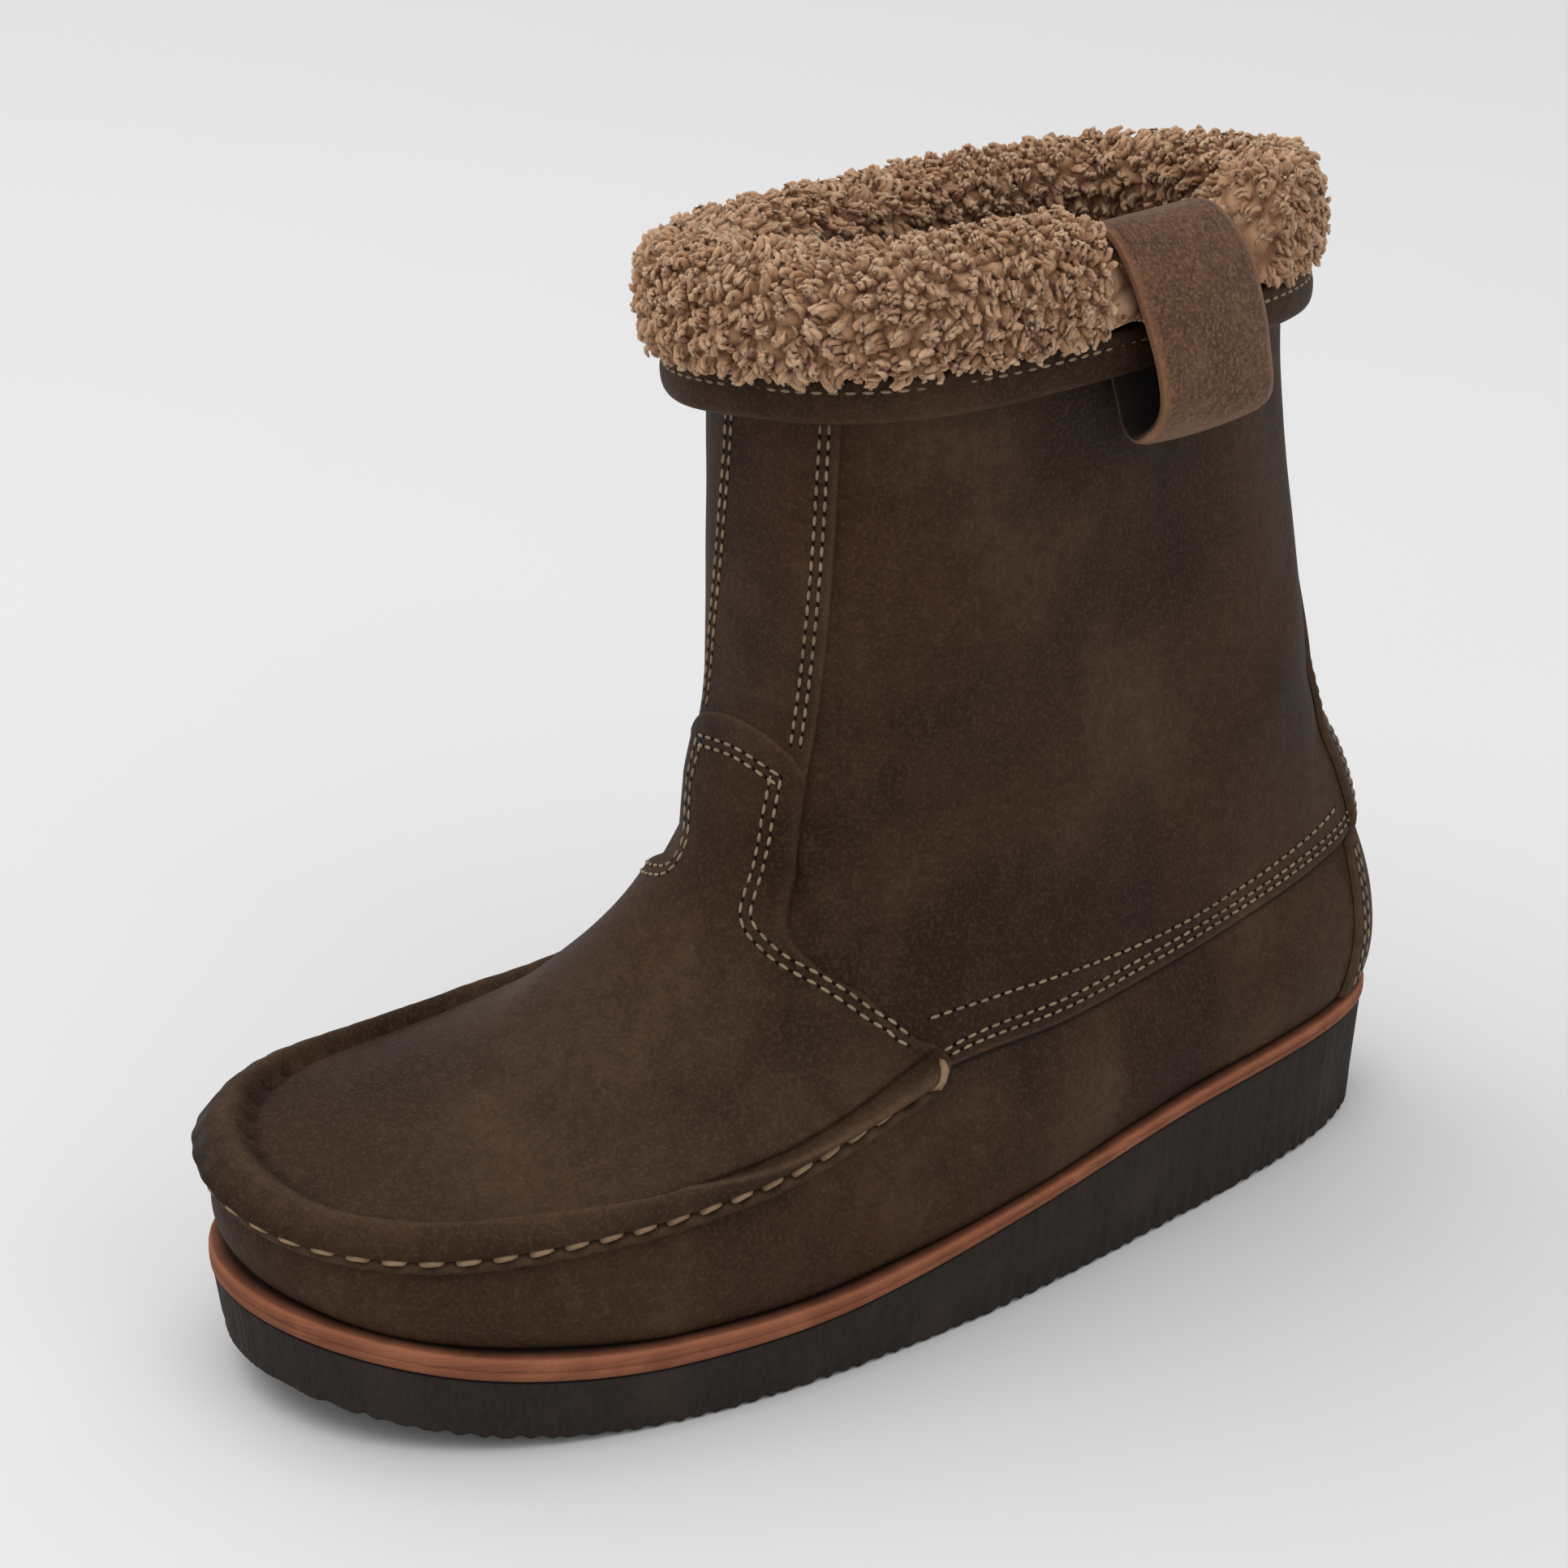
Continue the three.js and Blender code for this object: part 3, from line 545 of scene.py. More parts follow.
def seed_shape(kind):
    """Points and faces of a small shape that is modelled once and then repeated."""
    bpy.ops.object.select_all(action="DESELECT")
    if kind == "stitch":
        bpy.ops.mesh.primitive_uv_sphere_add(segments=6, ring_count=6, radius=1)
        piece = bpy.context.object
        bpy.ops.object.mode_set(mode="EDIT")
        bpy.ops.mesh.select_all(action="SELECT")
        bpy.ops.transform.rotate(value=math.pi / 2, orient_axis="Y", center_override=(0, 0, 0))
        bpy.ops.object.mode_set(mode="OBJECT")
    elif kind == "hole":
        bpy.ops.mesh.primitive_circle_add(vertices=8, radius=1, fill_type="TRIFAN")
        piece = bpy.context.object
        piece.data.vertices[8].co.z = -0.6
        bpy.ops.object.mode_set(mode="EDIT")
        bpy.ops.mesh.select_all(action="SELECT")
        bpy.ops.mesh.extrude_region_move(TRANSFORM_OT_translate={"value": (0, 0, -0.8)})
        bpy.ops.object.mode_set(mode="OBJECT")
    points = np.array([tuple(v.co) for v in piece.data.vertices])
    faces = [tuple(p.vertices) for p in piece.data.polygons]
    bpy.data.objects.remove(piece, do_unlink=True)
    return points, faces


def repeat(name, seed, centres, along_x, along_z, sizes, marks=None):
    """One joined object of copies of a shape, each turned along two directions."""
    points, faces = seed
    x = unit(along_x)
    z = unit(along_z - x * np.sum(along_z * x, -1, keepdims=True))
    y = np.cross(z, x)
    size = np.broadcast_to(np.asarray(sizes, float), (len(centres), 3))
    body = (centres[:, None] + x[:, None] * (points[None, :, 0:1] * size[:, None, 0:1])
            + y[:, None] * (points[None, :, 1:2] * size[:, None, 1:2])
            + z[:, None] * (points[None, :, 2:3] * size[:, None, 2:3]))
    many = [tuple(i + k * len(points) for i in f) for k in range(len(centres)) for f in faces]
    spread = {k: np.repeat(v, len(points)) for k, v in (marks or {}).items()}
    return add_piece(name, body, many, spread)


class Value:
    """A number in a material, so that shader maths reads as arithmetic."""

    def __init__(self, finish, socket):
        self.finish = finish
        self.socket = socket

    def math(self, operation, *others, clamp=False, flip=False):
        inputs = [self, *others]
        if flip:
            inputs.reverse()
        settings = {"operation": operation, "use_clamp": clamp}
        return self.finish.node("ShaderNodeMath", settings, *inputs)

    def __add__(self, other):
        return self.math("ADD", other)

    def __radd__(self, other):
        return self.math("ADD", other)

    def __sub__(self, other):
        return self.math("SUBTRACT", other)

    def __rsub__(self, other):
        return self.math("SUBTRACT", other, flip=True)

    def __mul__(self, other):
        return self.math("MULTIPLY", other)

    def clamp(self):
        return self.math("ADD", 0.0, clamp=True)

    def band(self, low, high):
        """0 below one number, 1 above the other, smooth between."""
        settings = {"interpolation_type": "SMOOTHSTEP", "clamp": True}
        return self.finish.node("ShaderNodeMapRange", settings, self, low, high, 0.0, 1.0)


class Finish:
    """A material under construction."""

    def __init__(self, name, **shader):
        self.material = bpy.data.materials.new(name)
        self.material.use_nodes = True
        self.tree = self.material.node_tree
        self.shader = self.tree.nodes["Principled BSDF"]
        for socket, value in shader.items():
            self.shader.inputs[socket.replace("_", " ")].default_value = value

    def node(self, kind, settings=None, *values, output=0, **named):
        """A node: its settings first, then the values or links of its sockets."""
        made = self.tree.nodes.new(kind)
        for key, value in (settings or {}).items():
            setattr(made, key, value)
        pairs = list(zip(made.inputs, values))
        pairs += [(made.inputs[key.replace("_", " ")], value) for key, value in named.items()]
        for socket, value in pairs:
            self.put(socket, value)
        return Value(self, made.outputs[output])

    def put(self, socket, value):
        if isinstance(value, Value):
            self.tree.links.new(value.socket, socket)
        elif value is not None:
            socket.default_value = value

    def place(self, scale=(1, 1, 1), turn=(0, 0, 0)):
        """Object coordinates, stretched and turned."""
        where = self.node("ShaderNodeTexCoord", output=3)
        return self.node("ShaderNodeMapping", None, where, Rotation=turn, Scale=scale)

    def noise(self, size, detail=3.0, rough=0.5, warp=0.0, where=None):
        """Noise with blobs of about this many millimetres."""
        where = where or self.place()
        return self.node("ShaderNodeTexNoise", None, Vector=where, Scale=1000 / size, Detail=detail,
                         Roughness=rough, Distortion=warp)

    def cells(self, size):
        """Round cells of about this many millimetres."""
        return self.node("ShaderNodeTexVoronoi", None, Vector=self.place(), Scale=1000 / size)

    def mark(self, name):
        """A vertex attribute of the piece."""
        return self.node("ShaderNodeAttribute", {"attribute_name": name}, output=2)

    def mix(self, factor, a, b):
        """A colour between two colours."""
        made = self.tree.nodes.new("ShaderNodeMix")
        made.data_type = "RGBA"
        self.put(made.inputs[0], factor)
        self.put(made.inputs[6], a if isinstance(a, Value) else tint(a))
        self.put(made.inputs[7], b if isinstance(b, Value) else tint(b))
        return Value(self, made.outputs[2])

    def bump(self, height, depth, strength=1.0, under=None):
        """A bump of some millimetres, on top of another."""
        made = self.node("ShaderNodeBump", None, Strength=strength, Distance=depth * 0.001, Height=height)
        if under is not None:
            self.put(made.socket.node.inputs["Normal"], under)
        return made

    def done(self, **links):
        for key, value in links.items():
            self.put(self.shader.inputs[key.replace("_", " ")], value)
        return self.material


def tint(rgb):
    """A colour as it looks on screen, 0 to 255, for a shader."""
    part = [c / 255 for c in rgb[:3]]
    return tuple(c / 12.92 if c <= 0.04045 else ((c + 0.055) / 1.055) ** 2.4 for c in part) + (1.0,)


def toned(rgb, factor):
    """A colour made darker or lighter."""
    return tuple(min(c * factor, 255) for c in rgb)


def screen(colour):
    """A property's colour as numbers from 0 to 255."""
    return tuple(255 * c for c in colour)


def worn_leather(name, dark, mid, light, red, inside):
    """Waxed pull-up leather: cloudy tone, rubbed edges, scuffs and a fine grain."""
    f = Finish(name, Specular_IOR_Level=0.1)
    cloud = f.noise(52, 3, 0.5, 0.1)
    patch = f.noise(34, 3, 0.5, 0.1, where=f.place((1.0, 1.0, 0.8), (0.3, 0.2, 0.5)))
    rust = f.noise(60, 3, 0.5, 0.4, where=f.place((1, 1, 0.7), (1.1, 0.4, 2.0)))
    mottle = f.noise(3.2, 6, 0.65)
    grain = f.cells(0.55)
    pores = f.noise(0.9, 4, 0.6)
    wear = f.mark("wear")
    colour = f.mix(cloud.band(0.36, 0.68), dark, mid)
    colour = f.mix(rust.band(0.52, 0.72) * 0.75, colour, red)
    colour = f.mix((patch.band(0.45, 0.8) * 0.4 + wear * (0.45 + mottle * 0.6)).clamp(), colour, light)
    scuff = f.noise(2.2, 3, 0.5, 0.2, where=f.place((0.25, 1.0, 1.6), (0.5, 0.35, 0.7)))
    scuffs = scuff.band(0.66, 0.76) * patch.band(0.42, 0.6) * 0.25
    colour = f.mix(scuffs, colour, light)
    colour = f.mix(mottle.band(0.35, 0.65) * 0.4, colour, dark)
    colour = f.mix(pores.band(0.45, 0.7) * 0.28, colour, light)
    colour = f.mix((0.25 - grain).band(0.0, 0.25) * 0.35, colour, dark)
    colour = f.mix(f.mark("shade"), colour, toned(dark, 0.34))
    nap = f.mix(f.noise(1.6, 4, 0.6), inside, toned(inside, 0.72))
    colour = f.mix(f.mark("inside"), colour, nap)
    rough = 0.52 + cloud * 0.14 + mottle * 0.12 - wear * 0.06
    lumps = f.bump(f.noise(9, 3, 0.5), 0.5, 0.35)
    fine = f.bump(pores * 0.8 + grain * 0.5, 0.16, 0.85, under=lumps)
    return f.done(Base_Color=colour, Roughness=rough, Normal=fine)


def suede(name, base, light, dark):
    """Brushed suede with a nap that is rubbed both ways."""
    f = Finish(name, Specular_IOR_Level=0.1, Sheen_Weight=0.08, Sheen_Roughness=0.6)
    brushed = f.noise(11, 3, 0.5)
    nap = f.noise(0.9, 4, 0.7)
    speck = f.noise(1.7, 4, 0.75)
    colour = f.mix(brushed.band(0.3, 0.75) * 0.35, base, light)
    colour = f.mix(speck.band(0.45, 0.62) * 0.75, colour, dark)
    colour = f.mix(nap.band(0.5, 0.6) * 0.75, colour, light)
    colour = f.mix(f.mark("wear"), colour, toned(light, 1.18))
    colour = f.mix(f.mark("shade"), colour, toned(dark, 0.45))
    soft = f.bump(brushed, 0.5, 0.4)
    return f.done(Base_Color=colour, Roughness=0.86 + nap * 0.12, Normal=f.bump(nap, 0.3, 0.8, under=soft))


def fleece(name, root, body, tip):
    """Curly sheepskin: darker roots and painted shade between the locks, pale at their tips."""
    f = Finish(name, Specular_IOR_Level=0.05, Sheen_Weight=0.1, Sheen_Roughness=0.5, Subsurface_Weight=0.35,
               Subsurface_Scale=0.0012, Subsurface_Radius=(1.0, 0.85, 0.7))
    height = f.mark("tip")
    tone = f.noise(17, 3, 0.6, 0.5)
    fibre = f.noise(0.55, 4, 0.7, 1.2)
    tuft = f.noise(2.6, 5, 0.7, 0.8)
    colour = f.mix((height + (tuft - 0.5) * 0.5).band(0.05, 0.6), root, body)
    colour = f.mix(((height + (tuft - 0.5) * 0.7) * (0.5 + tone)).band(0.45, 1.15), colour, tip)
    colour = f.mix(fibre.band(0.5, 0.72) * 0.35, colour, tip)
    colour = f.mix((0.5 - fibre).band(0.0, 0.25) * 0.3, colour, root)
    colour = f.mix(f.mark("shade"), colour, root)
    fine = f.bump(fibre, 0.45, 0.9, under=f.bump(tuft, 0.7, 0.5))
    return f.done(Base_Color=colour, Roughness=0.9 + fibre * 0.1, Normal=fine)


def veg_tan(name, base, light, dark):
    """The midsole's edge: trimmed and burnished leather with fine lines along it."""
    f = Finish(name, Specular_IOR_Level=0.2)
    lines = f.noise(1.1, 4, 0.6, where=f.place((0.05, 0.05, 1.8)))
    blotch = f.noise(16, 4, 0.6, 0.3)
    speck = f.noise(0.8, 3, 0.6)
    colour = f.mix(blotch.band(0.35, 0.7), base, light)
    colour = f.mix(lines.band(0.45, 0.7) * 0.4, colour, dark)
    colour = f.mix(speck.band(0.58, 0.75) * 0.4, colour, dark)
    colour = f.mix(f.mark("shade"), colour, toned(dark, 0.45))
    colour = f.mix(f.mark("wear") * 0.6, colour, toned(light, 1.15))
    fine = f.bump(lines + speck * 0.6, 0.15, 0.6)
    return f.done(Base_Color=colour, Roughness=0.75 + speck * 0.2, Normal=fine)


def crepe(name, base, light, dark):
    """Ground rubber: upright grinding streaks and a crumbly surface."""
    f = Finish(name, Specular_IOR_Level=0.2)
    streak = f.noise(1.0, 4, 0.65, 0.2, where=f.place((1.0, 1.0, 0.35)))
    crumb = f.noise(1.4, 5, 0.7)
    cloud = f.noise(24, 3, 0.5)
    colour = f.mix(streak.band(0.3, 0.75) * 0.6 + 0.25, dark, base)
    colour = f.mix(cloud.band(0.5, 0.75) * 0.35 + crumb.band(0.6, 0.75) * 0.3, colour, light)
    colour = f.mix(f.mark("shade"), colour, toned(dark, 0.5))
    rough = 0.66 + crumb * 0.25
    return f.done(Base_Color=colour, Roughness=rough, Normal=f.bump(streak * 0.5 + crumb, 0.5, 0.6))


def thread(name, base, dark):
    """Waxed thread, twisted, a little dirty."""
    f = Finish(name, Specular_IOR_Level=0.35)
    twist = f.noise(0.5, 2, 0.5, 0.6)
    tone = f.noise(9, 3, 0.6)
    colour = f.mix(tone.band(0.35, 0.7) * 0.7 + twist.band(0.5, 0.7) * 0.3, base, dark)
    colour = f.mix(f.mark("shade"), colour, toned(dark, 0.5))
    return f.done(Base_Color=colour, Roughness=0.6 + twist * 0.2, Normal=f.bump(twist, 0.15, 0.8))


# Needle holes: near-black dishes at the stitch ends, painted shade in the holes.
def pinhole(name, base):
    f = Finish(name, Specular_IOR_Level=0.1)
    tone = f.noise(1.5, 2)
    return f.done(Base_Color=f.mix(tone, base, toned(base, 0.5)), Roughness=0.85 + tone * 0.1)


def floor_paint(name, base):
    f = Finish(name, Specular_IOR_Level=0.2)
    tone = f.noise(300, 3, 0.5)
    return f.done(Base_Color=f.mix(tone, base, toned(base, 0.985)), Roughness=0.8 + tone * 0.05)


FINISHES = {}


def finish_of(name):
    """Each material is made once, from the colours in the panel."""
    if name in FINISHES:
        return FINISHES[name]
    colours = bpy.context.scene.boot_colours

    def of(key):
        return screen(getattr(colours, key))

    leather = [of(key) for key in ("leather_dark", "leather", "leather_worn", "leather_red", "lining")]
    recipes = {
        "waxed_leather": (worn_leather, *leather),
        "suede_strap": (suede, of("suede"), (122, 88, 64), (58, 39, 27)),
        "curly_fleece": (fleece, of("fleece_root"), of("fleece"), of("fleece_tip")),
        "tan_midsole": (veg_tan, of("midsole"), (146, 92, 66), (74, 44, 30)),
        "crepe_rubber": (crepe, of("rubber"), (66, 55, 48), (30, 24, 20)),
        "thread": (thread, of("thread"), (104, 90, 70)),
        "hand_thread": (thread, of("hand_thread"), (112, 88, 62)),
        "pinhole": (pinhole, (24, 18, 14)),
        "floor": (floor_paint, of("floor")),
    }
    make, *tones = recipes[name]
    FINISHES[name] = make(name, *tones)
    return FINISHES[name]


def dress(piece, finish, *nodes):
    """Gives a piece its material and hides the CAD nodes it stands for."""
    piece.data.materials.append(finish_of(finish))
    if nodes:
        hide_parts(*nodes)
    return piece


def make_upper():
    """The hollow leather upper, creased, with the quarters lapped over the wall and a lining inside."""
    around = 440
    rows = np.concatenate([
        np.linspace(0, 0.96, 26), [0.972, 0.982, 0.988, 0.992, 0.996, 1.0, 1.005, 1.012, 1.022],
        np.linspace(1.04, 2.0, 50), np.linspace(2.02, 2.98, 48), [2.99, 3.0],
    ])
    u = wrap(np.arange(around) * 2 / around)
    uu, rr = np.meshgrid(u, rows)
    outer = skin(uu, rr, quarter_lap(rr))
    low = np.concatenate([[0], np.linspace(0.1, 0.96, 8), [1.0], np.linspace(1.1, 3, 22)])
    ui, ri = np.meshgrid(u, low[::-1])
    inner = skin(ui, ri, quarter_lap(ri) - WALL_THICKNESS)
    points = np.concatenate([outer, inner])
    faces = grid_faces(len(points), around, close_rows=True, close_columns=True)
    lapped = (np.abs(uu) > SEAM_END) * np.exp(-((rr - 0.978) / 0.013) ** 2)
    edge = (np.abs(uu) > SEAM_END) * np.exp(-((rr - 1.005) / 0.012) ** 2)
    foot = np.exp(-(rr / 0.05) ** 2)
    hidden = np.zeros_like(ui)
    marks = {
        "shade": np.concatenate([np.clip(0.75 * lapped + 0.5 * foot, 0, 1), hidden]),
        "wear": np.concatenate([0.45 * edge, hidden]),
        "inside": np.concatenate([np.zeros_like(uu), np.ones_like(ui)]),
    }
    dress(add_piece("boot_upper", points, faces, marks), "waxed_leather", "upper")


def tab_edge(share):
    return STRIP_START + TAB_ROUND * np.sqrt(np.maximum(1 - share * share, 0))


def seam_distance(u, row):
    """How far a place stands over the moccasin seam, along the leather, in millimetres."""
    steps = np.linspace(1.0, 1.35, 24)
    uu = np.unique(np.round(np.ravel(u), 4))
    line = upper_point(uu[:, None], steps[None, :])
    gaps = np.linalg.norm(np.diff(line, axis=1), axis=-1)
    far = np.concatenate([np.zeros((len(uu), 1)), np.cumsum(gaps, 1)], 1)
    order = np.searchsorted(uu, np.round(u, 4)).clip(0, len(uu) - 1)
    share = np.clip((row - 1.0) / 0.35, 0, 1) * 23
    i = np.minimum(share.astype(int), 22)
    s = share - i
    return far[order, i] * (1 - s) + far[order, i + 1] * s + np.minimum(row - 1.0, 0) * 30


def bead(u, away):
    """Height of the rolled edge over the vamp: a full, puckered roll with pinholes along its inner side."""
    wave = seam_wave(u)
    width = 8.2 - 0.25 * wave
    x = np.clip((away + 0.6) / width, 0, 1)
    roll = np.sin(np.pi * x ** 0.8) ** 0.55
    high = SEAM_ROLL * (1 - 0.05 * np.maximum(wave, 0) * (1 - x)) * roll
    inner = smooth(-u, -0.02, 0.08) * (1 - smooth(-u, 0.40, 0.46))
    prick = np.maximum(wave, 0) ** 5 * np.exp(-((away - 8.4) / 1.3) ** 2)
    groove = np.exp(-((away - 9.2) / 1.6) ** 2)
    return high - (0.3 + 0.9 * inner) * prick - 0.7 * groove, x, prick * (0.25 + 0.75 * inner)


def make_vamp():
    """The moccasin plug with its rolled edge, up to the rounded tab over the shin."""
    steps = np.concatenate([
        np.linspace(0.95, 1.0, 5), np.linspace(1.008, 1.13, 22), np.linspace(1.14, 1.9, 64),
        np.linspace(1.91, STRIP_START - 0.006, 12),
    ])
    fall = np.linspace(0, 1, 14) ** 0.7
    half = along(VAMP, "row", "half", np.minimum(steps, STRIP_START))
    girth = np.linalg.norm(upper_point(half, steps) - upper_point(half - 0.02, steps), axis=-1) / 0.02
    shares = columns_for(half * girth, 190)
    last = shares[-1]
    tops = STRIP_START - 0.006 + (tab_edge(last)[None, :] - STRIP_START + 0.006) * fall[1:, None]
    rows = np.concatenate([np.repeat(steps[:, None], len(last), 1), tops])
    shares = np.concatenate([shares, np.repeat(last[None, :], len(tops), 0)])
    widths = along(VAMP, "row", "half", np.minimum(rows, STRIP_START))
    u = shares * widths
    seat = quarter_lap(np.maximum(rows, 1.0)) + OVERLAY_SEAT - VAMP_SINK
    base = skin(u, rows, seat)
    side, end = edge_distance(base)
    away = seam_distance(u, rows)
    roll, across, prick = bead(u, away)
    near = np.abs(shares) > 0.5
    thin = np.where(near, rounded(side, 1.3), 1) * rounded(end, 1.0)
    thick = (OVERLAY_THICKNESS + VAMP_SINK) * thin + roll * np.sqrt(rounded(side, 4.0))
    outer = skin(u, rows, seat + np.maximum(thick, 0))
    edge = np.exp(-(np.minimum(side, end + 40 * (rows < 1.5)) / 1.4) ** 2)
    top = np.exp(-((across - 0.45) / 0.22) ** 2) * (away < 9)
    outside = smooth(u, 0.1, 0.45)
    rub = np.exp(-((u + 0.03) / 0.16) ** 2 - ((rows - 1.42) / 0.2) ** 2)
    rub = rub + 0.7 * np.exp(-((u - 0.2) / 0.2) ** 2 - ((rows - 1.2) / 0.12) ** 2)
    marks = {
        "wear": np.clip(0.35 * edge + top * (0.35 + 0.4 * outside) + 0.22 * rub, 0, 1),
        "shade": np.clip(0.95 * prick + 0.4 * np.exp(-((away - 9.2) / 1.0) ** 2), 0, 1),
    }
    dress(shell("vamp_plug", outer, base, marks), "waxed_leather", "vamp")


def overlay(name, node, rows, half_at, columns, thick, centre_at=lambda row: 1.0):
    """A trim piece laid on the upper, with rounded edges."""
    half, mid = (np.array([at(r) for r in rows]) for at in (half_at, centre_at))
    beside = upper_point(mid + half - 0.01, rows)
    girth = np.linalg.norm(upper_point(mid + half, rows) - beside, axis=-1) / 0.01
    shares = columns_for(half * girth, columns)
    rr = np.repeat(rows[:, None], shares.shape[1], 1)
    u = mid[:, None] + shares * half[:, None]
    seat = quarter_lap(rr) + OVERLAY_SEAT - TRIM_SINK
    base = skin(u, rr, seat)
    side, end = edge_distance(base)
    outer = skin(u, rr, seat + (thick + TRIM_SINK) * rounded(side, 0.9) * rounded(end, 0.9))
    edge = np.exp(-np.minimum(side, end) ** 2)
    dress(shell(name, outer, base, {"wear": 0.5 * edge, "shade": 0 * edge}), "waxed_leather", node)


STRIP_TOP = 3 - (CUFF_DROP + 1) / (COLLAR_HEIGHT - THROAT_HEIGHT)


def heel_strip_half(row):
    return 0.11 + (0.05 - 0.11) * smooth(row, 1.1, 2.3)


def heel_cup_half(row):
    return 0.17 + (0.13 - 0.17) * row


def make_trims():
    """The strip up the shin, the strip down the back and the counter round the heel."""
    half = float(along(VAMP, "row", "half", STRIP_START)) * 0.96
    start = STRIP_START - 0.03
    shin = np.linspace(start, STRIP_TOP, 90)
    overlay("shin_strip", "front_strip", shin, lambda row: half, 26, TRIM_THICKNESS - 0.3,
            lambda row: STRIP_DRIFT * (row - start) / (STRIP_TOP - start))
    back = np.concatenate([np.linspace(1.012, 1.03, 4), np.linspace(1.05, 2.3, 90)])
    overlay("heel_strip", "backstay", back, heel_strip_half, 30, TRIM_THICKNESS)
    overlay("heel_cup", "heel_counter", np.linspace(0.03, 0.97, 60), heel_cup_half, 40, TRIM_THICKNESS)


def make_lip():
    """The wall's turned-out edge below the hand-sewn stitches, wavy from the gathering."""
    u = np.linspace(-SEAM_END + 0.004, SEAM_END - 0.002, 1000)
    wave = seam_wave(u)
    turn = np.linspace(0, 2 * np.pi, 13)[:-1]
    ends = np.minimum(1, (1 - np.abs(u / SEAM_END)) * 40 + 0.25)
    half_high, half_thick = (1.6 + 0.22 * wave) * ends, (1.3 + 0.15 * wave) * ends
    row = 0.925 + 0 * u
    run = unit(np.gradient(upper_point(u, 1.0), axis=0))
    normal = upper_normal(u, row)
    up = np.cross(normal, run)
    up = up * np.sign(up[:, 2:3])
    centre = skin(u, row, 1.5 + 0.25 * wave) + up * (0.45 * wave - 0.3)[:, None]
    points = (centre[:, None] + normal[:, None] * (np.cos(turn)[None, :, None] * half_thick[:, None, None])
              + up[:, None] * (np.sin(turn)[None, :, None] * half_high[:, None, None]))
    face = np.repeat(np.cos(turn)[None, :], len(u), 0)
    marks = {
        "wear": 0.55 * np.clip(face, 0, 1) ** 2 * (0.6 + 0.4 * wave[:, None]),
        "shade": np.clip(np.sin(turn)[None, :] * 0.55, 0, 1) * np.ones_like(face),
    }
    dress(add_piece("seam_lip", points, bar_faces(len(u), len(turn)), marks), "waxed_leather")


def tubes(name, spines, radius, sides=7):
    """One joined object of short round threads along their spines."""
    spines = np.asarray(spines, float)
    count, rings = spines.shape[:2]
    run = unit(np.gradient(spines, axis=1))
    side = unit(np.cross(run, np.array([0.31, 0.52, 0.79])))
    other = np.cross(run, side)
    turn = np.linspace(0, 2 * np.pi, sides + 1)[:-1]
    t = np.linspace(-1, 1, rings)
    taper = np.sqrt(np.maximum(1 - t ** 6, 0.04))[None, :, None, None]
    ring = (side[:, :, None] * np.cos(turn)[None, None, :, None]
            + other[:, :, None] * np.sin(turn)[None, None, :, None]) * radius * taper
    points = (spines[:, :, None] + ring).reshape(-1, 3)
    size = rings * sides
    faces = [[i + k * size for i in f] for k in range(count) for f in bar_faces(rings, sides)]
    shade = np.tile(np.repeat(0.75 * np.abs(t) ** 4, sides), count)
    return add_piece(name, points, faces, {"shade": shade})


def make_hand_stitches():
    """Thick hand stitches end to end along the moccasin seam, and a last one over the roll's outer end."""
    dense, far = seam_run()
    first = math.ceil(np.interp(-SEAM_END + 0.01, dense, far) / HAND_PITCH)
    last = math.floor(np.interp(SEAM_END - 0.012, dense, far) / HAND_PITCH)
    spines = []
    t = np.linspace(-1, 1, 9)
    for k in range(first, last):
        at = (k + 0.5) * HAND_PITCH + 2.7 * t
        u = np.interp(at, far, dense)
        row = 0.972 + 0.01 * t
        spines.append(skin(u, row, 3.5 - 1.2 * np.abs(t) ** 3))
    path = spline([(0.4795, 0.972), (0.48, 0.99), (0.4805, 1.02), (0.4805, 1.06), (0.48, 1.1),
                   (0.479, 1.125)], 9)
    rise = SEAM_ROLL + OVERLAY_THICKNESS + 1.2 - 3.4 * np.abs(np.linspace(-1, 1, 9)) ** 2.5
    spines.append(skin(path[:, 0], path[:, 1], rise))
    dress(tubes("hand_stitches", spines, 0.95), "hand_thread")


def row_above(u, distance):
    """Row of the upper at some millimetres above the quarters' edge."""
    steps = np.linspace(1.0, 1.6, 60)
    made = []
    for one in np.atleast_1d(u):
        made.append(np.interp(distance, travelled(upper_point(one, steps)), steps))
    return np.array(made)


VAMP_TOP = QUARTER_STEP + OVERLAY_SEAT + OVERLAY_THICKNESS - 0.05
STRIP_FACE = QUARTER_STEP + OVERLAY_SEAT + TRIM_THICKNESS - 0.35


def beside(spots, off):
    """A line moved sideways on the leather by some millimetres."""
    line = np.asarray(spots, float)
    points = upper_point(line[:, 0], line[:, 1])
    run = unit(np.gradient(points, axis=0))
    side = np.cross(upper_normal(line[:, 0], line[:, 1]), run)
    du = (upper_point(line[:, 0] + 0.004, line[:, 1]) - points) / 0.004
    dr = (upper_point(line[:, 0], line[:, 1] + 0.008) - points) / 0.008
    made = []
    for p, s, a, b in zip(line, side, du, dr):
        share, *_ = np.linalg.lstsq(np.stack([a, b], 1), s * off, rcond=None)
        made.append(p + share)
    return np.array(made)


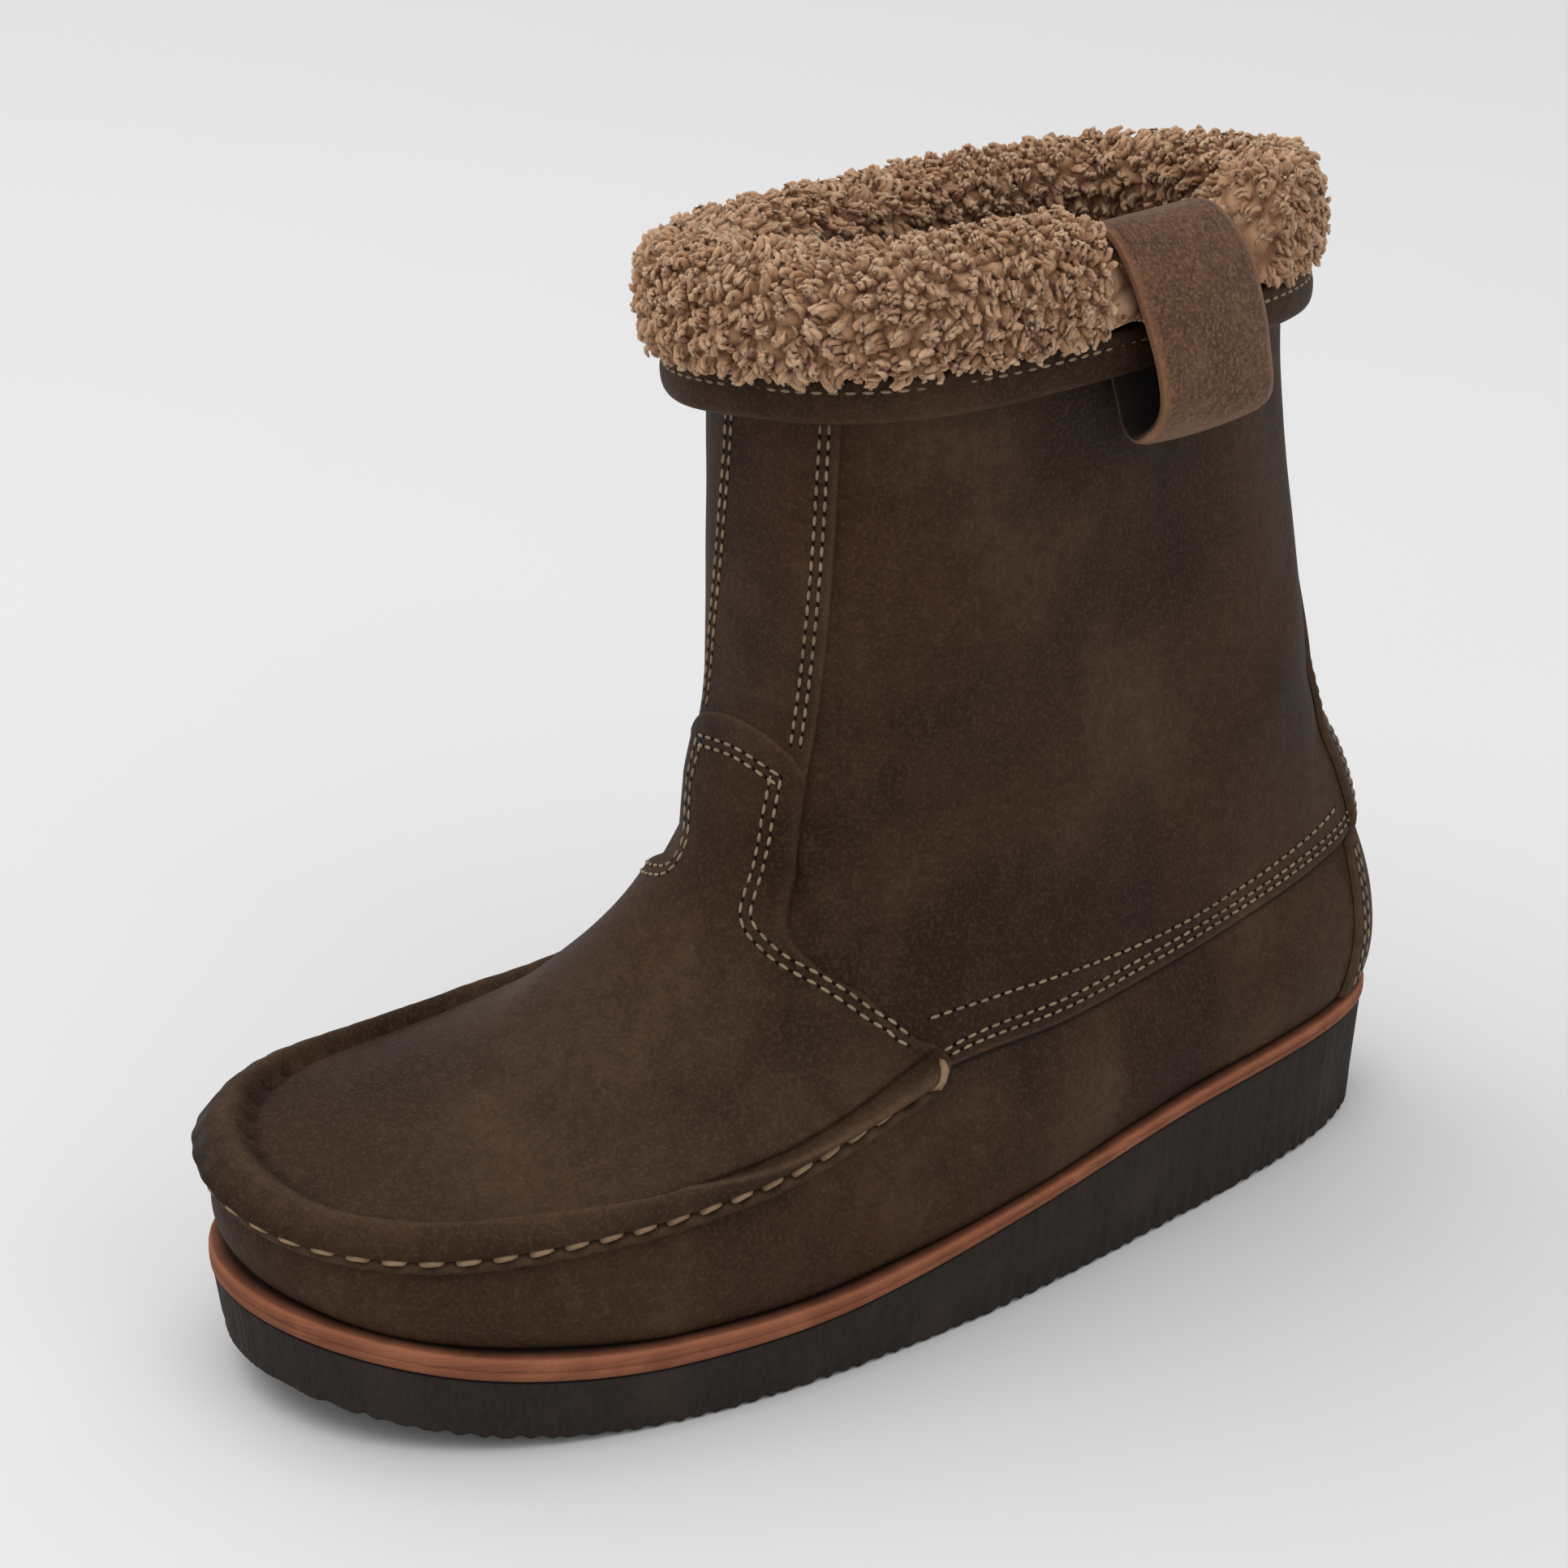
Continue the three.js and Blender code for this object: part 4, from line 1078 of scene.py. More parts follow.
def sewn_lines():
    """Every machine-sewn line: its places and the height of the leather it lies on."""
    lines = []
    upper_row = [(0.452, 1.36), (0.50, 1.26), (0.54, 1.23), (0.57, 1.215), (0.615, 1.18), (0.66, 1.165),
                 (0.70, 1.17), (0.75, 1.18), (0.80, 1.195), (0.86, 1.225)]
    for side in (1, -1):
        lines.append((spline([(side * a, b) for a, b in upper_row], 160), QUARTER_STEP))
        u = np.linspace(0.487, 0.90, 70)
        for away in (3.2, 5.6):
            lines.append((np.stack([side * u, row_above(u, away)], -1), QUARTER_STEP))
    # Plug: down both sides of the tab and out along the vamp's edge, and across under the tab.
    plug = [(0.098, 2.095), (0.100, 2.0), (0.094, 1.92), (0.090, 1.87), (0.100, 1.825), (0.145, 1.79),
            (0.235, 1.735), (0.31, 1.65), (0.385, 1.515), (0.43, 1.38)]
    for side in (1, -1):
        spots = spline([(side * a, b) for a, b in plug], 160)
        lines.append((spots, VAMP_TOP))
        lines.append((beside(spots, -2.3 * side), VAMP_TOP))
    across = spline([(0.098, 2.097), (0.05, 2.112), (0.0, 2.118), (-0.05, 2.112), (-0.098, 2.097)], 60)
    lines.append((across, VAMP_TOP))
    lines.append((beside(across, 2.2), VAMP_TOP))
    # Shin strip: two rows along each edge.
    strip_rows = np.linspace(tab_edge(0.8) + 0.02, STRIP_TOP + 0.03, 80)
    drift = STRIP_DRIFT * (strip_rows - STRIP_START) / (STRIP_TOP - STRIP_START)
    for side in (1, -1):
        for edge in (0.113, 0.098):
            lines.append((np.stack([side * edge + drift, strip_rows], -1), STRIP_FACE))
    # Heel strip and heel cup: a double row inside each edge.
    heel_rows = np.linspace(1.05, 2.26, 90)
    half = heel_strip_half(heel_rows)
    cup_rows = np.linspace(0.08, 0.92, 50)
    for side in (1, -1):
        for share in (0.86, 0.66):
            lines.append((np.stack([1 - side * half * share, heel_rows], -1), STRIP_FACE + 0.3))
        for share in (0.92, 0.83):
            cup = heel_cup_half(cup_rows) * share
            lines.append((np.stack([1 - side * cup, cup_rows], -1), STRIP_FACE + 0.3 - QUARTER_STEP))
    return lines


def make_stitches():
    """Machine stitching with its needle holes."""
    sizes = bpy.context.scene.boot_sizes
    pitch, length, thick = sizes.stitch_pitch * 1000, sizes.stitch_length * 1000, sizes.thread * 1000
    centres, runs, normals, holes, hole_normals = [], [], [], [], []
    for spots, out in sewn_lines():
        points = skin(spots[:, 0], spots[:, 1], out)
        where = even(points, pitch)
        index = np.arange(len(points))
        u = np.interp(where, index, spots[:, 0])
        row = np.interp(where, index, spots[:, 1])
        run = unit(np.gradient(points, axis=0))
        at = np.stack([np.interp(where, index, points[:, k]) for k in range(3)], -1)
        way = np.stack([np.interp(where, index, run[:, k]) for k in range(3)], -1)
        normal = upper_normal(u, row)
        centres.append(at + normal * 0.12)
        runs.append(way)
        normals.append(normal)
        for end in (-0.5, 0.5):
            holes.append(at + way * end * pitch * 0.93 + normal * 0.1)
            hole_normals.append(normal)
    hem_u = np.linspace(-1, 1, 900)
    hem_line = cuff_point(hem_u, hem_out(hem_u) + HEM_THICKNESS + 0.05, HEM_FOOT + HEM_HEIGHT - 3.0)
    where = even(hem_line, pitch * 1.08)
    at = np.stack([np.interp(where, np.arange(900), hem_line[:, k]) for k in range(3)], -1)
    way = unit(np.gradient(hem_line, axis=0))[where.astype(int)]
    out = unit(np.cross(way, [0, 0, 1.0]))
    out = out * np.sign(np.sum(out * (at - hem_line.mean(0)), -1, keepdims=True))
    centres.append(at)
    runs.append(way)
    normals.append(out)
    centres, runs, normals = (np.concatenate(v) for v in (centres, runs, normals))
    stitch = seed_shape("stitch")
    rng = np.random.default_rng(7)
    runs = unit(runs + rng.normal(0, 0.03, runs.shape))
    size = np.stack([rng.uniform(0.92, 1.06, len(centres)) * length / 2, np.full(len(centres), thick),
                     np.full(len(centres), thick * 0.8)], -1)
    marks = {"shade": rng.uniform(0, 0.35, len(centres)) ** 1.5}
    dress(repeat("machine_stitches", stitch, centres, runs, normals, size, marks), "thread")
    # Needle holes: dark dishes at both ends of each stitch, painted shade in the holes.
    spots, facing = np.concatenate(holes), np.concatenate(hole_normals)
    turn = np.cross(facing, [0.2, 0.5, 0.8])
    dress(repeat("needle_holes", seed_shape("hole"), spots, turn, facing, (0.42, 0.42, 0.3)), "pinhole")


def make_hem():
    """The leather binding under the fleece."""
    around = 420
    u = wrap(np.arange(around) * 2 / around)
    inner, foot = hem_out(u), HEM_FOOT
    wave = 0.35 * np.sin(u * 21 + 1.0) + 0.25 * np.sin(u * 47 + 0.4)
    t = np.linspace(0, 2 * np.pi, 33)[:-1]
    corner = (np.abs(np.cos(t)) ** 3.2 + np.abs(np.sin(t)) ** 3.2) ** (-1 / 3.2)
    across, high = np.cos(t) * corner, np.sin(t) * corner
    out = inner[:, None] + HEM_THICKNESS / 2 + across[None, :] * HEM_THICKNESS / 2
    seam = 0.35 * np.exp(-((high[None, :] * HEM_HEIGHT / 2 - 2.0) / 0.8) ** 2) * (across[None, :] > 0.5)
    belly = 0.5 * (1 - high[None, :] ** 2) * (across[None, :] > 0)
    out = out + wave[:, None] * 0.8 - seam + belly
    up = foot + HEM_HEIGHT / 2 + high[None, :] * HEM_HEIGHT / 2 + 0.25 * wave[:, None]
    points = cuff_point(u[:, None], out, up)
    faces = grid_faces(around, len(t), close_rows=True, close_columns=True)
    ones = np.ones((around, 1))
    marks = {
        "wear": 0.35 * ones * (np.exp(-((high + 0.95) / 0.2) ** 2) * (across > 0))[None, :],
        "shade": 0.4 * ones * (smooth(high, 0.8, 1.0) + (across < -0.3))[None, :],
    }
    dress(add_piece("leather_hem", points, faces, marks), "waxed_leather", "hem_band")


# Upright folds in the fleece round the front: place, depth and width in millimetres.
FLEECE_FOLDS = (
    (-0.235, 2.4, 3.2), (-0.19, 3.0, 3.2), (-0.145, 3.2, 3.4), (-0.10, 2.2, 3.0), (-0.05, 1.6, 3.0),
    (0.30, 1.2, 4.0), (-0.36, 1.6, 4.0), (-0.52, 1.4, 5.0), (0.86, 1.4, 5.0),
)


def fleece_surface(u, s):
    """The fleece's smooth face: s runs from its lower edge outside over the top to its lower edge inside."""
    columns = [CUFF[name] for name in ("out", "up", "pressed_out", "pressed_up")]
    section = spline(np.stack(columns, -1), 241)
    at = np.clip(s, 0, 1) * 240
    out, up, flat_out, flat_up = (np.interp(at, np.arange(241), section[:, k]) for k in range(4))
    press = pressed(u)
    stand = np.where(out > 0, fleece_stand(u), FLEECE_LINING)
    face = np.interp(out, [-0.3, 0.3], [LEATHER_IN, LEATHER_OUT])
    drop = np.interp(s, [0.4, 0.65], [CUFF_DROP, LINING_DROP])
    high = np.where(up > 0, up * FLEECE_CROWN, up * drop)
    low = np.where(flat_up > 0, flat_up * FLEECE_CROWN, flat_up * drop)
    fold = np.zeros_like(out + u)
    for where, depth, width in FLEECE_FOLDS:
        away = (wrap(u - where)) * 150
        fold = fold + depth * np.exp(-(away / width) ** 2)
    fold = fold * smooth(out, 0.3, 0.8) * smooth(up, 0.9, 0.2)
    sag = 0.8 * np.sin(wrap(u) * 19 + 2) + 0.6 * np.sin(wrap(u) * 43) + 1.0
    made_out = face + (out + (flat_out - out) * press) * stand - fold
    return cuff_point(u, made_out, high + (low - high) * press + sag * smooth(s, 0.12, 0.0))


def scatter_places(count, seed):
    """Even but irregular places on the fleece, by area: way round and section share."""
    rng = np.random.default_rng(seed)
    u, s = np.linspace(-1, 1, 400), np.linspace(0.02, 0.98, 80)
    uu, ss = np.meshgrid(u, s)
    seen = (1 - 0.7 * smooth(ss, 0.7, 0.8)) * (1 - 0.85 * pressed(uu))
    points = fleece_surface(uu, ss)
    corner = points[:-1, :-1]
    cell = np.linalg.norm(np.cross(points[:-1, 1:] - corner, points[1:, :-1] - corner), axis=-1)
    weight = np.cumsum((cell * seen[:-1, :-1]).ravel())
    picks = (np.arange(count) + rng.uniform(0, 1, count)) / count * weight[-1]
    index = np.searchsorted(weight, picks).clip(0, cell.size - 1)
    row, column = np.divmod(index, cell.shape[1])
    made_u = u[column] + rng.uniform(0, 1, count) * (u[1] - u[0])
    made_s = s[row] + rng.uniform(0, 1, count) * (s[1] - s[0])
    return wrap(made_u), np.clip(made_s, 0.02, 0.98), rng


def fleece_normal(u, s):
    run = fleece_surface(wrap(u + 0.008), s) - fleece_surface(wrap(u - 0.008), s)
    rise = fleece_surface(u, np.clip(s + 0.012, 0, 1)) - fleece_surface(u, np.clip(s - 0.012, 0, 1))
    return unit(np.cross(run, rise))


def tuft_centres():
    """Where the fleece gathers into tufts."""
    u, s, _ = scatter_places(3400, 11)
    points = fleece_surface(u, s)
    keep, taken = [], {}
    for i, p in enumerate(points):
        cell = tuple((p // 5.0).astype(int))
        near = [taken[k] for dx in (-1, 0, 1) for dy in (-1, 0, 1) for dz in (-1, 0, 1)
                for k in [(cell[0] + dx, cell[1] + dy, cell[2] + dz)] if k in taken]
        if all(np.linalg.norm(p - points[j]) > 4.1 for group in near for j in group):
            taken.setdefault(cell, []).append(i)
            keep.append(i)
    return points[keep]


def nearest(points, centres):
    """Distance to the nearest and the second nearest centre, and which the nearest is."""
    tree = KDTree(len(centres))
    for i, c in enumerate(centres):
        tree.insert(Vector(c), i)
    tree.balance()
    flat = points.reshape(-1, 3)
    first, second, which = np.empty(len(flat)), np.empty(len(flat)), np.empty(len(flat), int)
    for i, p in enumerate(flat):
        a, b = tree.find_n(Vector(p), 2)
        first[i], second[i], which[i] = a[2], b[2], a[1]
    shape = points.shape[:-1]
    return first.reshape(shape), second.reshape(shape), which.reshape(shape)


def mound(points, centres):
    """How high each place stands on its tuft, how near it is to a parting, and which tuft it is."""
    first, second, which = nearest(points, centres)
    part = np.clip((second - first) / 2.6, 0, 1)
    return np.clip(1 - (first / 5.6) ** 2, 0, 1) * part ** 0.5, part, which


def make_fleece():
    """The sheepskin cuff: a soft lumpy mass and the curled locks that grow from it."""
    centres = tuft_centres()
    around, along_s = 760, 104
    u = wrap(np.arange(around) * 2 / around)
    s = np.linspace(0, 1, along_s)
    uu, ss = np.meshgrid(u, s, indexing="ij")
    base = fleece_surface(uu, ss)
    normal = fleece_normal(uu, ss)
    rise, part, _ = mound(base, centres)
    x, y, z = base[..., 0], base[..., 1], base[..., 2]
    crumb = np.sin(x * 1.9 + 2 * np.sin(y * 0.9)) * np.sin(y * 2.1 + 2 * np.sin(z * 0.8))
    crumb = crumb * np.sin(z * 2.0 + x * 0.6)
    free = 1 - 0.75 * pressed(uu)
    fade = smooth(ss, 0.0, 0.03) * smooth(ss, 1.0, 0.97)
    high = (2.1 * rise + 0.4 * crumb) * free - FLEECE_SINK * (0.35 + 0.65 * free)
    points = base + normal * (high * fade - 0.5)[..., None]
    close = np.array([
        (LEATHER_IN + 0.2, -LINING_DROP + 2), (LEATHER_IN + 0.3, -LINING_DROP / 2), (LEATHER_IN + 0.3, 0.4),
        (LEATHER_OUT, 0.4), (LEATHER_OUT, -CUFF_DROP / 2), (LEATHER_OUT, -CUFF_DROP + 0.5),
    ])
    back = cuff_point(u[:, None], close[None, :, 0], close[None, :, 1])
    points = np.concatenate([points, back], 1)
    # The mass is painted darker in the hollows and paler on the tufts' crowns, and its shade mark darkens
    # the partings and the lining down inside the shaft: painted shade.
    deep = smooth(ss, 0.56, 0.8) * 0.55
    marks = {
        "tip": np.concatenate([0.22 + 0.5 * rise, np.zeros((around, len(close)))], 1),
        "shade": np.concatenate([np.clip(0.45 * (1 - part) + deep, 0, 1), np.ones((around, len(close)))], 1),
    }
    faces = grid_faces(around, points.shape[1], close_rows=True, close_columns=True)
    dress(add_piece("fleece_roll", points, faces, marks), "curly_fleece", "fleece_cuff")
    for name, count, seed in (("fleece_locks_a", 4400, 21), ("fleece_locks_b", 4400, 22)):
        dress(fleece_locks(name, count, seed, centres), "curly_fleece")


def fleece_locks(name, count, seed, centres):
    """Fine curled locks that lean together over each tuft."""
    u, s, rng = scatter_places(count, seed)
    root, normal = fleece_surface(u, s), fleece_normal(u, s)
    rise, part, which = mound(root, centres)
    free = 1 - 0.7 * pressed(u)
    lean = centres[which] - root
    lean = lean - normal * np.sum(lean * normal, -1, keepdims=True)
    swirl = np.stack([np.sin(root[:, 1] / 9 + 1.0) + 0.4, np.cos(root[:, 0] / 8 + root[:, 2] / 11),
                      np.sin(root[:, 2] / 7 + root[:, 1] / 13) - 0.5], -1)
    swirl = unit(swirl - normal * np.sum(swirl * normal, -1, keepdims=True))
    across = np.cross(normal, swirl)
    size = rng.uniform(0.7, 1.25, count)
    tall = 2.7 * size * free
    rings, sides = 6, 4
    t = np.linspace(0, 1, rings)[None, :, None]
    phase = (which * 2.4 + rng.normal(0, 0.7, count))[:, None, None]
    curl = 0.62 * np.sin(t * np.pi * 0.8)
    curl = curl * (np.cos(t * 5.2 + phase) * swirl[:, None] + np.sin(t * 5.2 + phase) * across[:, None])
    foot = (1.9 * rise * free - FLEECE_SINK * (0.35 + 0.65 * free) - 1.1)[:, None, None]
    reach = lean[:, None] * 0.42 * t + swirl[:, None] * (t * t * 1.6)
    spine = root[:, None] + normal[:, None] * (foot + np.sin(t * 1.8) * tall[:, None, None]) + reach + curl
    run = unit(np.gradient(spine, axis=1))
    a = unit(np.cross(run, swirl[:, None] + 0.3))
    b = np.cross(run, a)
    turn = np.linspace(0, 2 * np.pi, sides + 1)[:-1] + 0.4
    width = np.array([0.55, 0.66, 0.66, 0.58, 0.46, 0.2])[None, :, None, None] * size[:, None, None, None]
    turn = turn[None, None, :, None]
    ring = a[:, :, None] * np.cos(turn) + b[:, :, None] * np.sin(turn)
    points = spine[:, :, None] + ring * width
    each = rings * sides
    starts = np.arange(count)[:, None, None] * each
    quads = (grid_faces(rings, sides, close_columns=True)[None] + starts).reshape(-1, 4)
    ends = np.array([list(range(sides))[::-1], list(range(each - sides, each))])
    caps = (ends[None] + starts).reshape(-1, sides)
    # Each lock's tone varies at random, and is paler on the tufts' crowns than by the partings: painted
    # shade between the tufts.
    tone = np.repeat(rng.uniform(-0.15, 0.2, count) + 0.3 * rise, each)
    tip = np.repeat(np.tile(np.linspace(0.1, 0.85, rings), count), sides) + tone
    # deep darkens some locks at random, and adds painted shade near the partings and down inside the shaft.
    deep = rng.uniform(0, 0.25, count) ** 1.5 + smooth(s, 0.56, 0.8) * 0.5 + 0.2 * (1 - part)
    shade = np.repeat(np.clip(deep, 0, 1), each)
    marks = {"tip": np.clip(tip, 0, 1.2), "shade": shade}
    return add_piece(name, points, np.concatenate([quads, caps]), marks)


def loop_path():
    """The strap's inner face in the cuff's section: out of the leather and above its top edge."""
    inside = LEATHER_IN - FLEECE_LINING / 2 - TUFT - CLEARANCE
    over = FLEECE_CROWN * 0.15 + 2 * CLEARANCE
    behind = LEATHER_OUT + LOOP_THICKNESS + CLEARANCE / 3
    foot = HEM_FOOT - LOOP_DROP + LOOP_THICKNESS
    belly, drop = LOOP_BELLY, LOOP_DROP
    return np.array([
        (inside, -24), (inside, -8), (inside + 1.6, -0.5), (inside * 0.45, over), (LEATHER_OUT, over),
        (belly * 0.43, -3.6), (belly * 0.66, -CUFF_DROP * 0.68), (belly * 0.87, -CUFF_DROP - 4),
        (belly * 0.97, HEM_FOOT - 0.5), (belly, HEM_FOOT - drop * 0.36),
        (belly * 0.94, HEM_FOOT - drop * 0.6),
        (belly * 0.8, foot + 1.2), (belly * 0.65, foot), (belly * 0.5, foot + 1.4),
        (belly * 0.38, HEM_FOOT - drop * 0.45), (behind + 0.3, HEM_FOOT - 1.6), (behind, HEM_FOOT + 2),
        (behind, HEM_FOOT + HEM_HEIGHT - 1.5),
    ])


def make_loop():
    """The suede pull loop, from inside the shaft over the pressed fleece and back up behind the hem."""
    path = spline(loop_path(), 150)
    run = unit(np.gradient(path, axis=0))
    off = np.stack([-run[:, 1], run[:, 0]], -1)
    middle = path + off * LOOP_THICKNESS / 2
    t = np.linspace(0, 2 * np.pi, 53)[:-1]
    corner = (np.abs(np.cos(t)) ** 14 + np.abs(np.sin(t)) ** 14) ** (-1 / 14)
    across, thick = np.cos(t) * corner, np.sin(t) * corner
    share = np.linspace(0, 1, len(path))[:, None]
    shown = smooth(share, 0.22, 0.32)
    half = LOOP_WIDTH / 2 - 0.3 + 0.3 * np.sin(share * 19 + 1)
    edge = np.exp(-((np.abs(across) - 1) / 0.05) ** 2)[None, :]
    slack_here = 0.35 * np.sin(share * 21 + across[None, :] * 1.7) * shown
    cup = 0.5 * (1 - across[None, :] ** 2) * shown - 0.25
    w = thick[None, :] * (1 - 0.3 * edge) * LOOP_THICKNESS / 2 + cup + slack_here
    u = LOOP_PLACE + across[None, :] * half / LOOP_GIRTH
    points = cuff_point(u, middle[:, 0:1] + off[:, 0:1] * w, middle[:, 1:2] + off[:, 1:2] * w)
    fold = np.exp(-((share - 0.64) / 0.05) ** 2)
    hidden = (smooth(share, 0.66, 0.78) + smooth(share, 0.16, 0.06)
              + smooth(share, 0.45, 0.6) * (thick[None, :] < 0))
    marks = {
        "wear": np.clip(0.55 * edge + 0.35 * fold * (thick[None, :] > 0), 0, 1),
        "shade": np.clip(hidden * 0.7 + 0 * edge, 0, 1),
    }
    piece = add_piece("suede_loop", points, bar_faces(len(path), len(t)), marks)
    dress(piece, "suede_strap", "pull_loop")


def slab(name, u, loops, marks):
    """A flat piece of the sole: loops from the lowest to the highest, closed across at both ends."""
    count, top = len(u), (len(loops) - 1) * len(u)
    points = np.stack(loops)
    faces = grid_faces(len(loops), count, close_columns=True).tolist()
    half = count // 2
    for k in range(1, half):
        a, b = k, (count - k) % count
        p, q = k - 1, (count - k + 1) % count
        if k > 1:
            faces += [[a, p, q, b], [top + p, top + a, top + b, top + q]]
        else:
            faces += [[a, p, b], [top + p, top + a, top + b]]
    faces += [[half, half - 1, half + 1], [top + half - 1, top + half, top + half + 1]]
    piece = add_piece(name, points, faces, marks)
    bpy.context.view_layer.objects.active = piece
    piece.select_set(True)
    bpy.ops.object.shade_smooth_by_angle(angle=math.radians(38))
    piece.select_set(False)
    return piece


def make_sole():
    """The ribbed rubber wedge, the burnished leather midsole and the footbed."""
    around = 1000
    u = wrap(np.arange(around) * 2 / around)
    station = station_of(u)
    rng = np.random.default_rng(5)
    rough = rng.normal(0, 0.07, around)
    uneven = np.sin(station * 0.9) + np.sin(station * 0.37 + 1) + np.sin(u * 61)
    rib = 0.5 + 0.5 * np.cos(2 * np.pi * station / 4.6 + 0.5 * uneven)
    tread = lift(station) + (0.75 + 0.15 * uneven) * (1 - rib) ** 1.5
    loops, shade, wear = [], [], []
    for share in (0.0, 0.05, 0.12, 0.3, 0.55, 0.8, 0.94, 0.985, 1.0):
        flat = outline(u, -SOLE_UNDERCUT * (1 - share) - 0.5 * (share == 1.0) + rough * (share < 0.95)
                       + 0.5 * (share in (0.05, 0.12)) * (rib - 0.5))
        low = tread if share < 0.05 else lift(station)
        loops.append(place(flat, low + (rubber_top(station) - low) * share))
        shade.append(np.full(around, 0.5 if share < 0.04 else 0.0) + 0.3 * (share > 0.97))
        wear.append(np.zeros(around))
    dress(slab("rubber_wedge", u, loops, {"shade": shade, "wear": wear}), "crepe_rubber", "outsole")
    loops, shade, wear = [], [], []
    low, high = rubber_top(station) + CLEARANCE, midsole_top(station)
    # Loops up the midsole's edge: height share, outset, painted shade (darker in the undercut foot, the
    # groove and the top edge under the upper) and wear.
    edge = (
        (0, -0.9, 0.9, 0), (0.02, -0.3, 0.7, 0), (0.1, 0.0, 0.25, 0.2), (0.3, 0.12, 0, 0.1),
        (0.42, 0.14, 0, 0), (0.47, 0.02, 0.35, 0), (0.52, 0.14, 0, 0), (0.75, 0.1, 0, 0.2),
        (0.92, -0.12, 0.0, 0.7), (0.99, -0.5, 0.15, 0.5), (1.0, -1.2, 0.25, 0),
    )
    for share, out, painted_shade, rub in edge:
        loops.append(place(outline(u, MIDSOLE_LIP + out), low + (high - low) * share))
        shade.append(np.full(around, painted_shade))
        wear.append(np.full(around, rub))
    # The top loop runs in under the upper's foot and is painted dark there: painted shade.
    loops.append(place(outline(u, -FEATHER_INSET * 0.8), high))
    shade.append(np.full(around, 0.95))
    wear.append(np.zeros(around))
    dress(slab("tan_welt", u, loops, {"shade": shade, "wear": wear}), "tan_midsole", "midsole")
    around = 240
    u = wrap(np.arange(around) * 2 / around)
    station = station_of(u)
    inset = -FEATHER_INSET * along(WALL, "angle", "inset", angle_of(u)) - WALL_THICKNESS - 2 * CLEARANCE
    base = midsole_top(station) + CLEARANCE
    loops = [place(outline(u, inset - off), base + INSOLE_THICKNESS * up)
             for off, up in ((0.4, 0.0), (0, 0.2), (0, 0.75), (0.5, 0.94), (1.4, 1.0), (6.0, 0.93))]
    zero = [np.zeros(around) for _ in loops]
    tip = [np.full(around, 0.45) for _ in loops]
    dress(slab("footbed", u, loops, {"shade": zero, "tip": tip}), "curly_fleece", "insole")


AZIMUTH, ELEVATION = math.radians(57.13), math.radians(23.18)
EYE = (0.6783, -0.5204, 0.4830)
FOCAL_PIXELS = 3583.23
PHOTO_PIXELS = 1932
NEARER = 1.40
BOOT_CENTRE = (1026, 1031)


def make_stage():
    """The pale floor, the soft studio light and the camera."""
    bpy.ops.object.select_all(action="DESELECT")
    bpy.ops.mesh.primitive_plane_add(size=12, location=(0, 0, -0.0004))
    floor = bpy.context.object
    floor.name = "floor"
    bpy.ops.object.mode_set(mode="EDIT")
    bpy.ops.mesh.select_all(action="SELECT")
    bpy.ops.mesh.subdivide(number_cuts=4)
    bpy.ops.object.mode_set(mode="OBJECT")
    bpy.ops.object.transform_apply(location=True, rotation=True, scale=True)
    floor.data.materials.append(finish_of("floor"))
    back = Vector((math.sin(AZIMUTH) * math.cos(ELEVATION), -math.cos(AZIMUTH) * math.cos(ELEVATION),
                   math.sin(ELEVATION)))
    lights = (
        ("key_light", (0.0, -0.7, 2.2), (0.0, -0.05, 0.08), 2.4, 22.0),
        ("side_light", (1.9, 0.4, 1.5), (0.0, 0.0, 0.1), 1.8, 6.0),
        ("far_light", (-1.7, -0.5, 1.5), (0.0, 0.0, 0.12), 1.8, 4.5),
    )
    for name, at, aim, size, power in lights:
        lamp = bpy.data.lights.new(name, "AREA")
        lamp.shape = "DISK"
        lamp.size = size
        lamp.energy = power * bpy.context.scene.boot_sizes.light
        holder = bpy.data.objects.new(name, lamp)
        holder.location = at
        holder.rotation_euler = (Vector(aim) - Vector(at)).to_track_quat("-Z", "Y").to_euler()
        bpy.context.scene.collection.objects.link(holder)
    world = bpy.data.worlds.new("studio")
    world.use_nodes = True
    world.node_tree.nodes["Background"].inputs["Color"].default_value = (1.0, 1.0, 1.0, 1.0)
    world.node_tree.nodes["Background"].inputs["Strength"].default_value = bpy.context.scene.boot_sizes.fill
    bpy.context.scene.world = world
    lens = bpy.data.cameras.new("camera")
    lens.sensor_width = 36
    lens.lens = FOCAL_PIXELS / PHOTO_PIXELS * 36 * NEARER
    lens.shift_x = (BOOT_CENTRE[0] - PHOTO_PIXELS / 2) * NEARER / PHOTO_PIXELS
    lens.shift_y = -(BOOT_CENTRE[1] - PHOTO_PIXELS / 2) * NEARER / PHOTO_PIXELS
    lens.clip_end = 30
    camera = bpy.data.objects.new("camera", lens)
    camera.location = EYE
    camera.rotation_euler = back.to_track_quat("Z", "Y").to_euler()
    bpy.context.scene.collection.objects.link(camera)
    bpy.context.scene.camera = camera
    bpy.context.scene.view_settings.view_transform = "Standard"


def colour(name, text, r, g, b):
    return bpy.props.FloatVectorProperty(
        name=name, description=text, subtype="COLOR_GAMMA", size=3, min=0, max=1,
        default=tuple(c / 255 for c in (r, g, b)))


def length(name, text, value):
    return bpy.props.FloatProperty(
        name=name, description=text, default=value, min=0, unit="LENGTH", precision=5)


def factor(name, text, value):
    return bpy.props.FloatProperty(name=name, description=text, default=value, min=0)


class BootSizes(bpy.types.PropertyGroup):
    stitch_pitch: length("Stitch pitch", "From one machine stitch to the next", 0.0033)
    stitch_length: length("Stitch length", "Length of the thread that shows", 0.0024)
    thread: length("Thread", "Half the thickness of the machine thread", 0.00042)
    light: factor("Light", "Strength of the studio lights", 1.0)
    fill: factor("Fill", "Light from all round", 0.72)


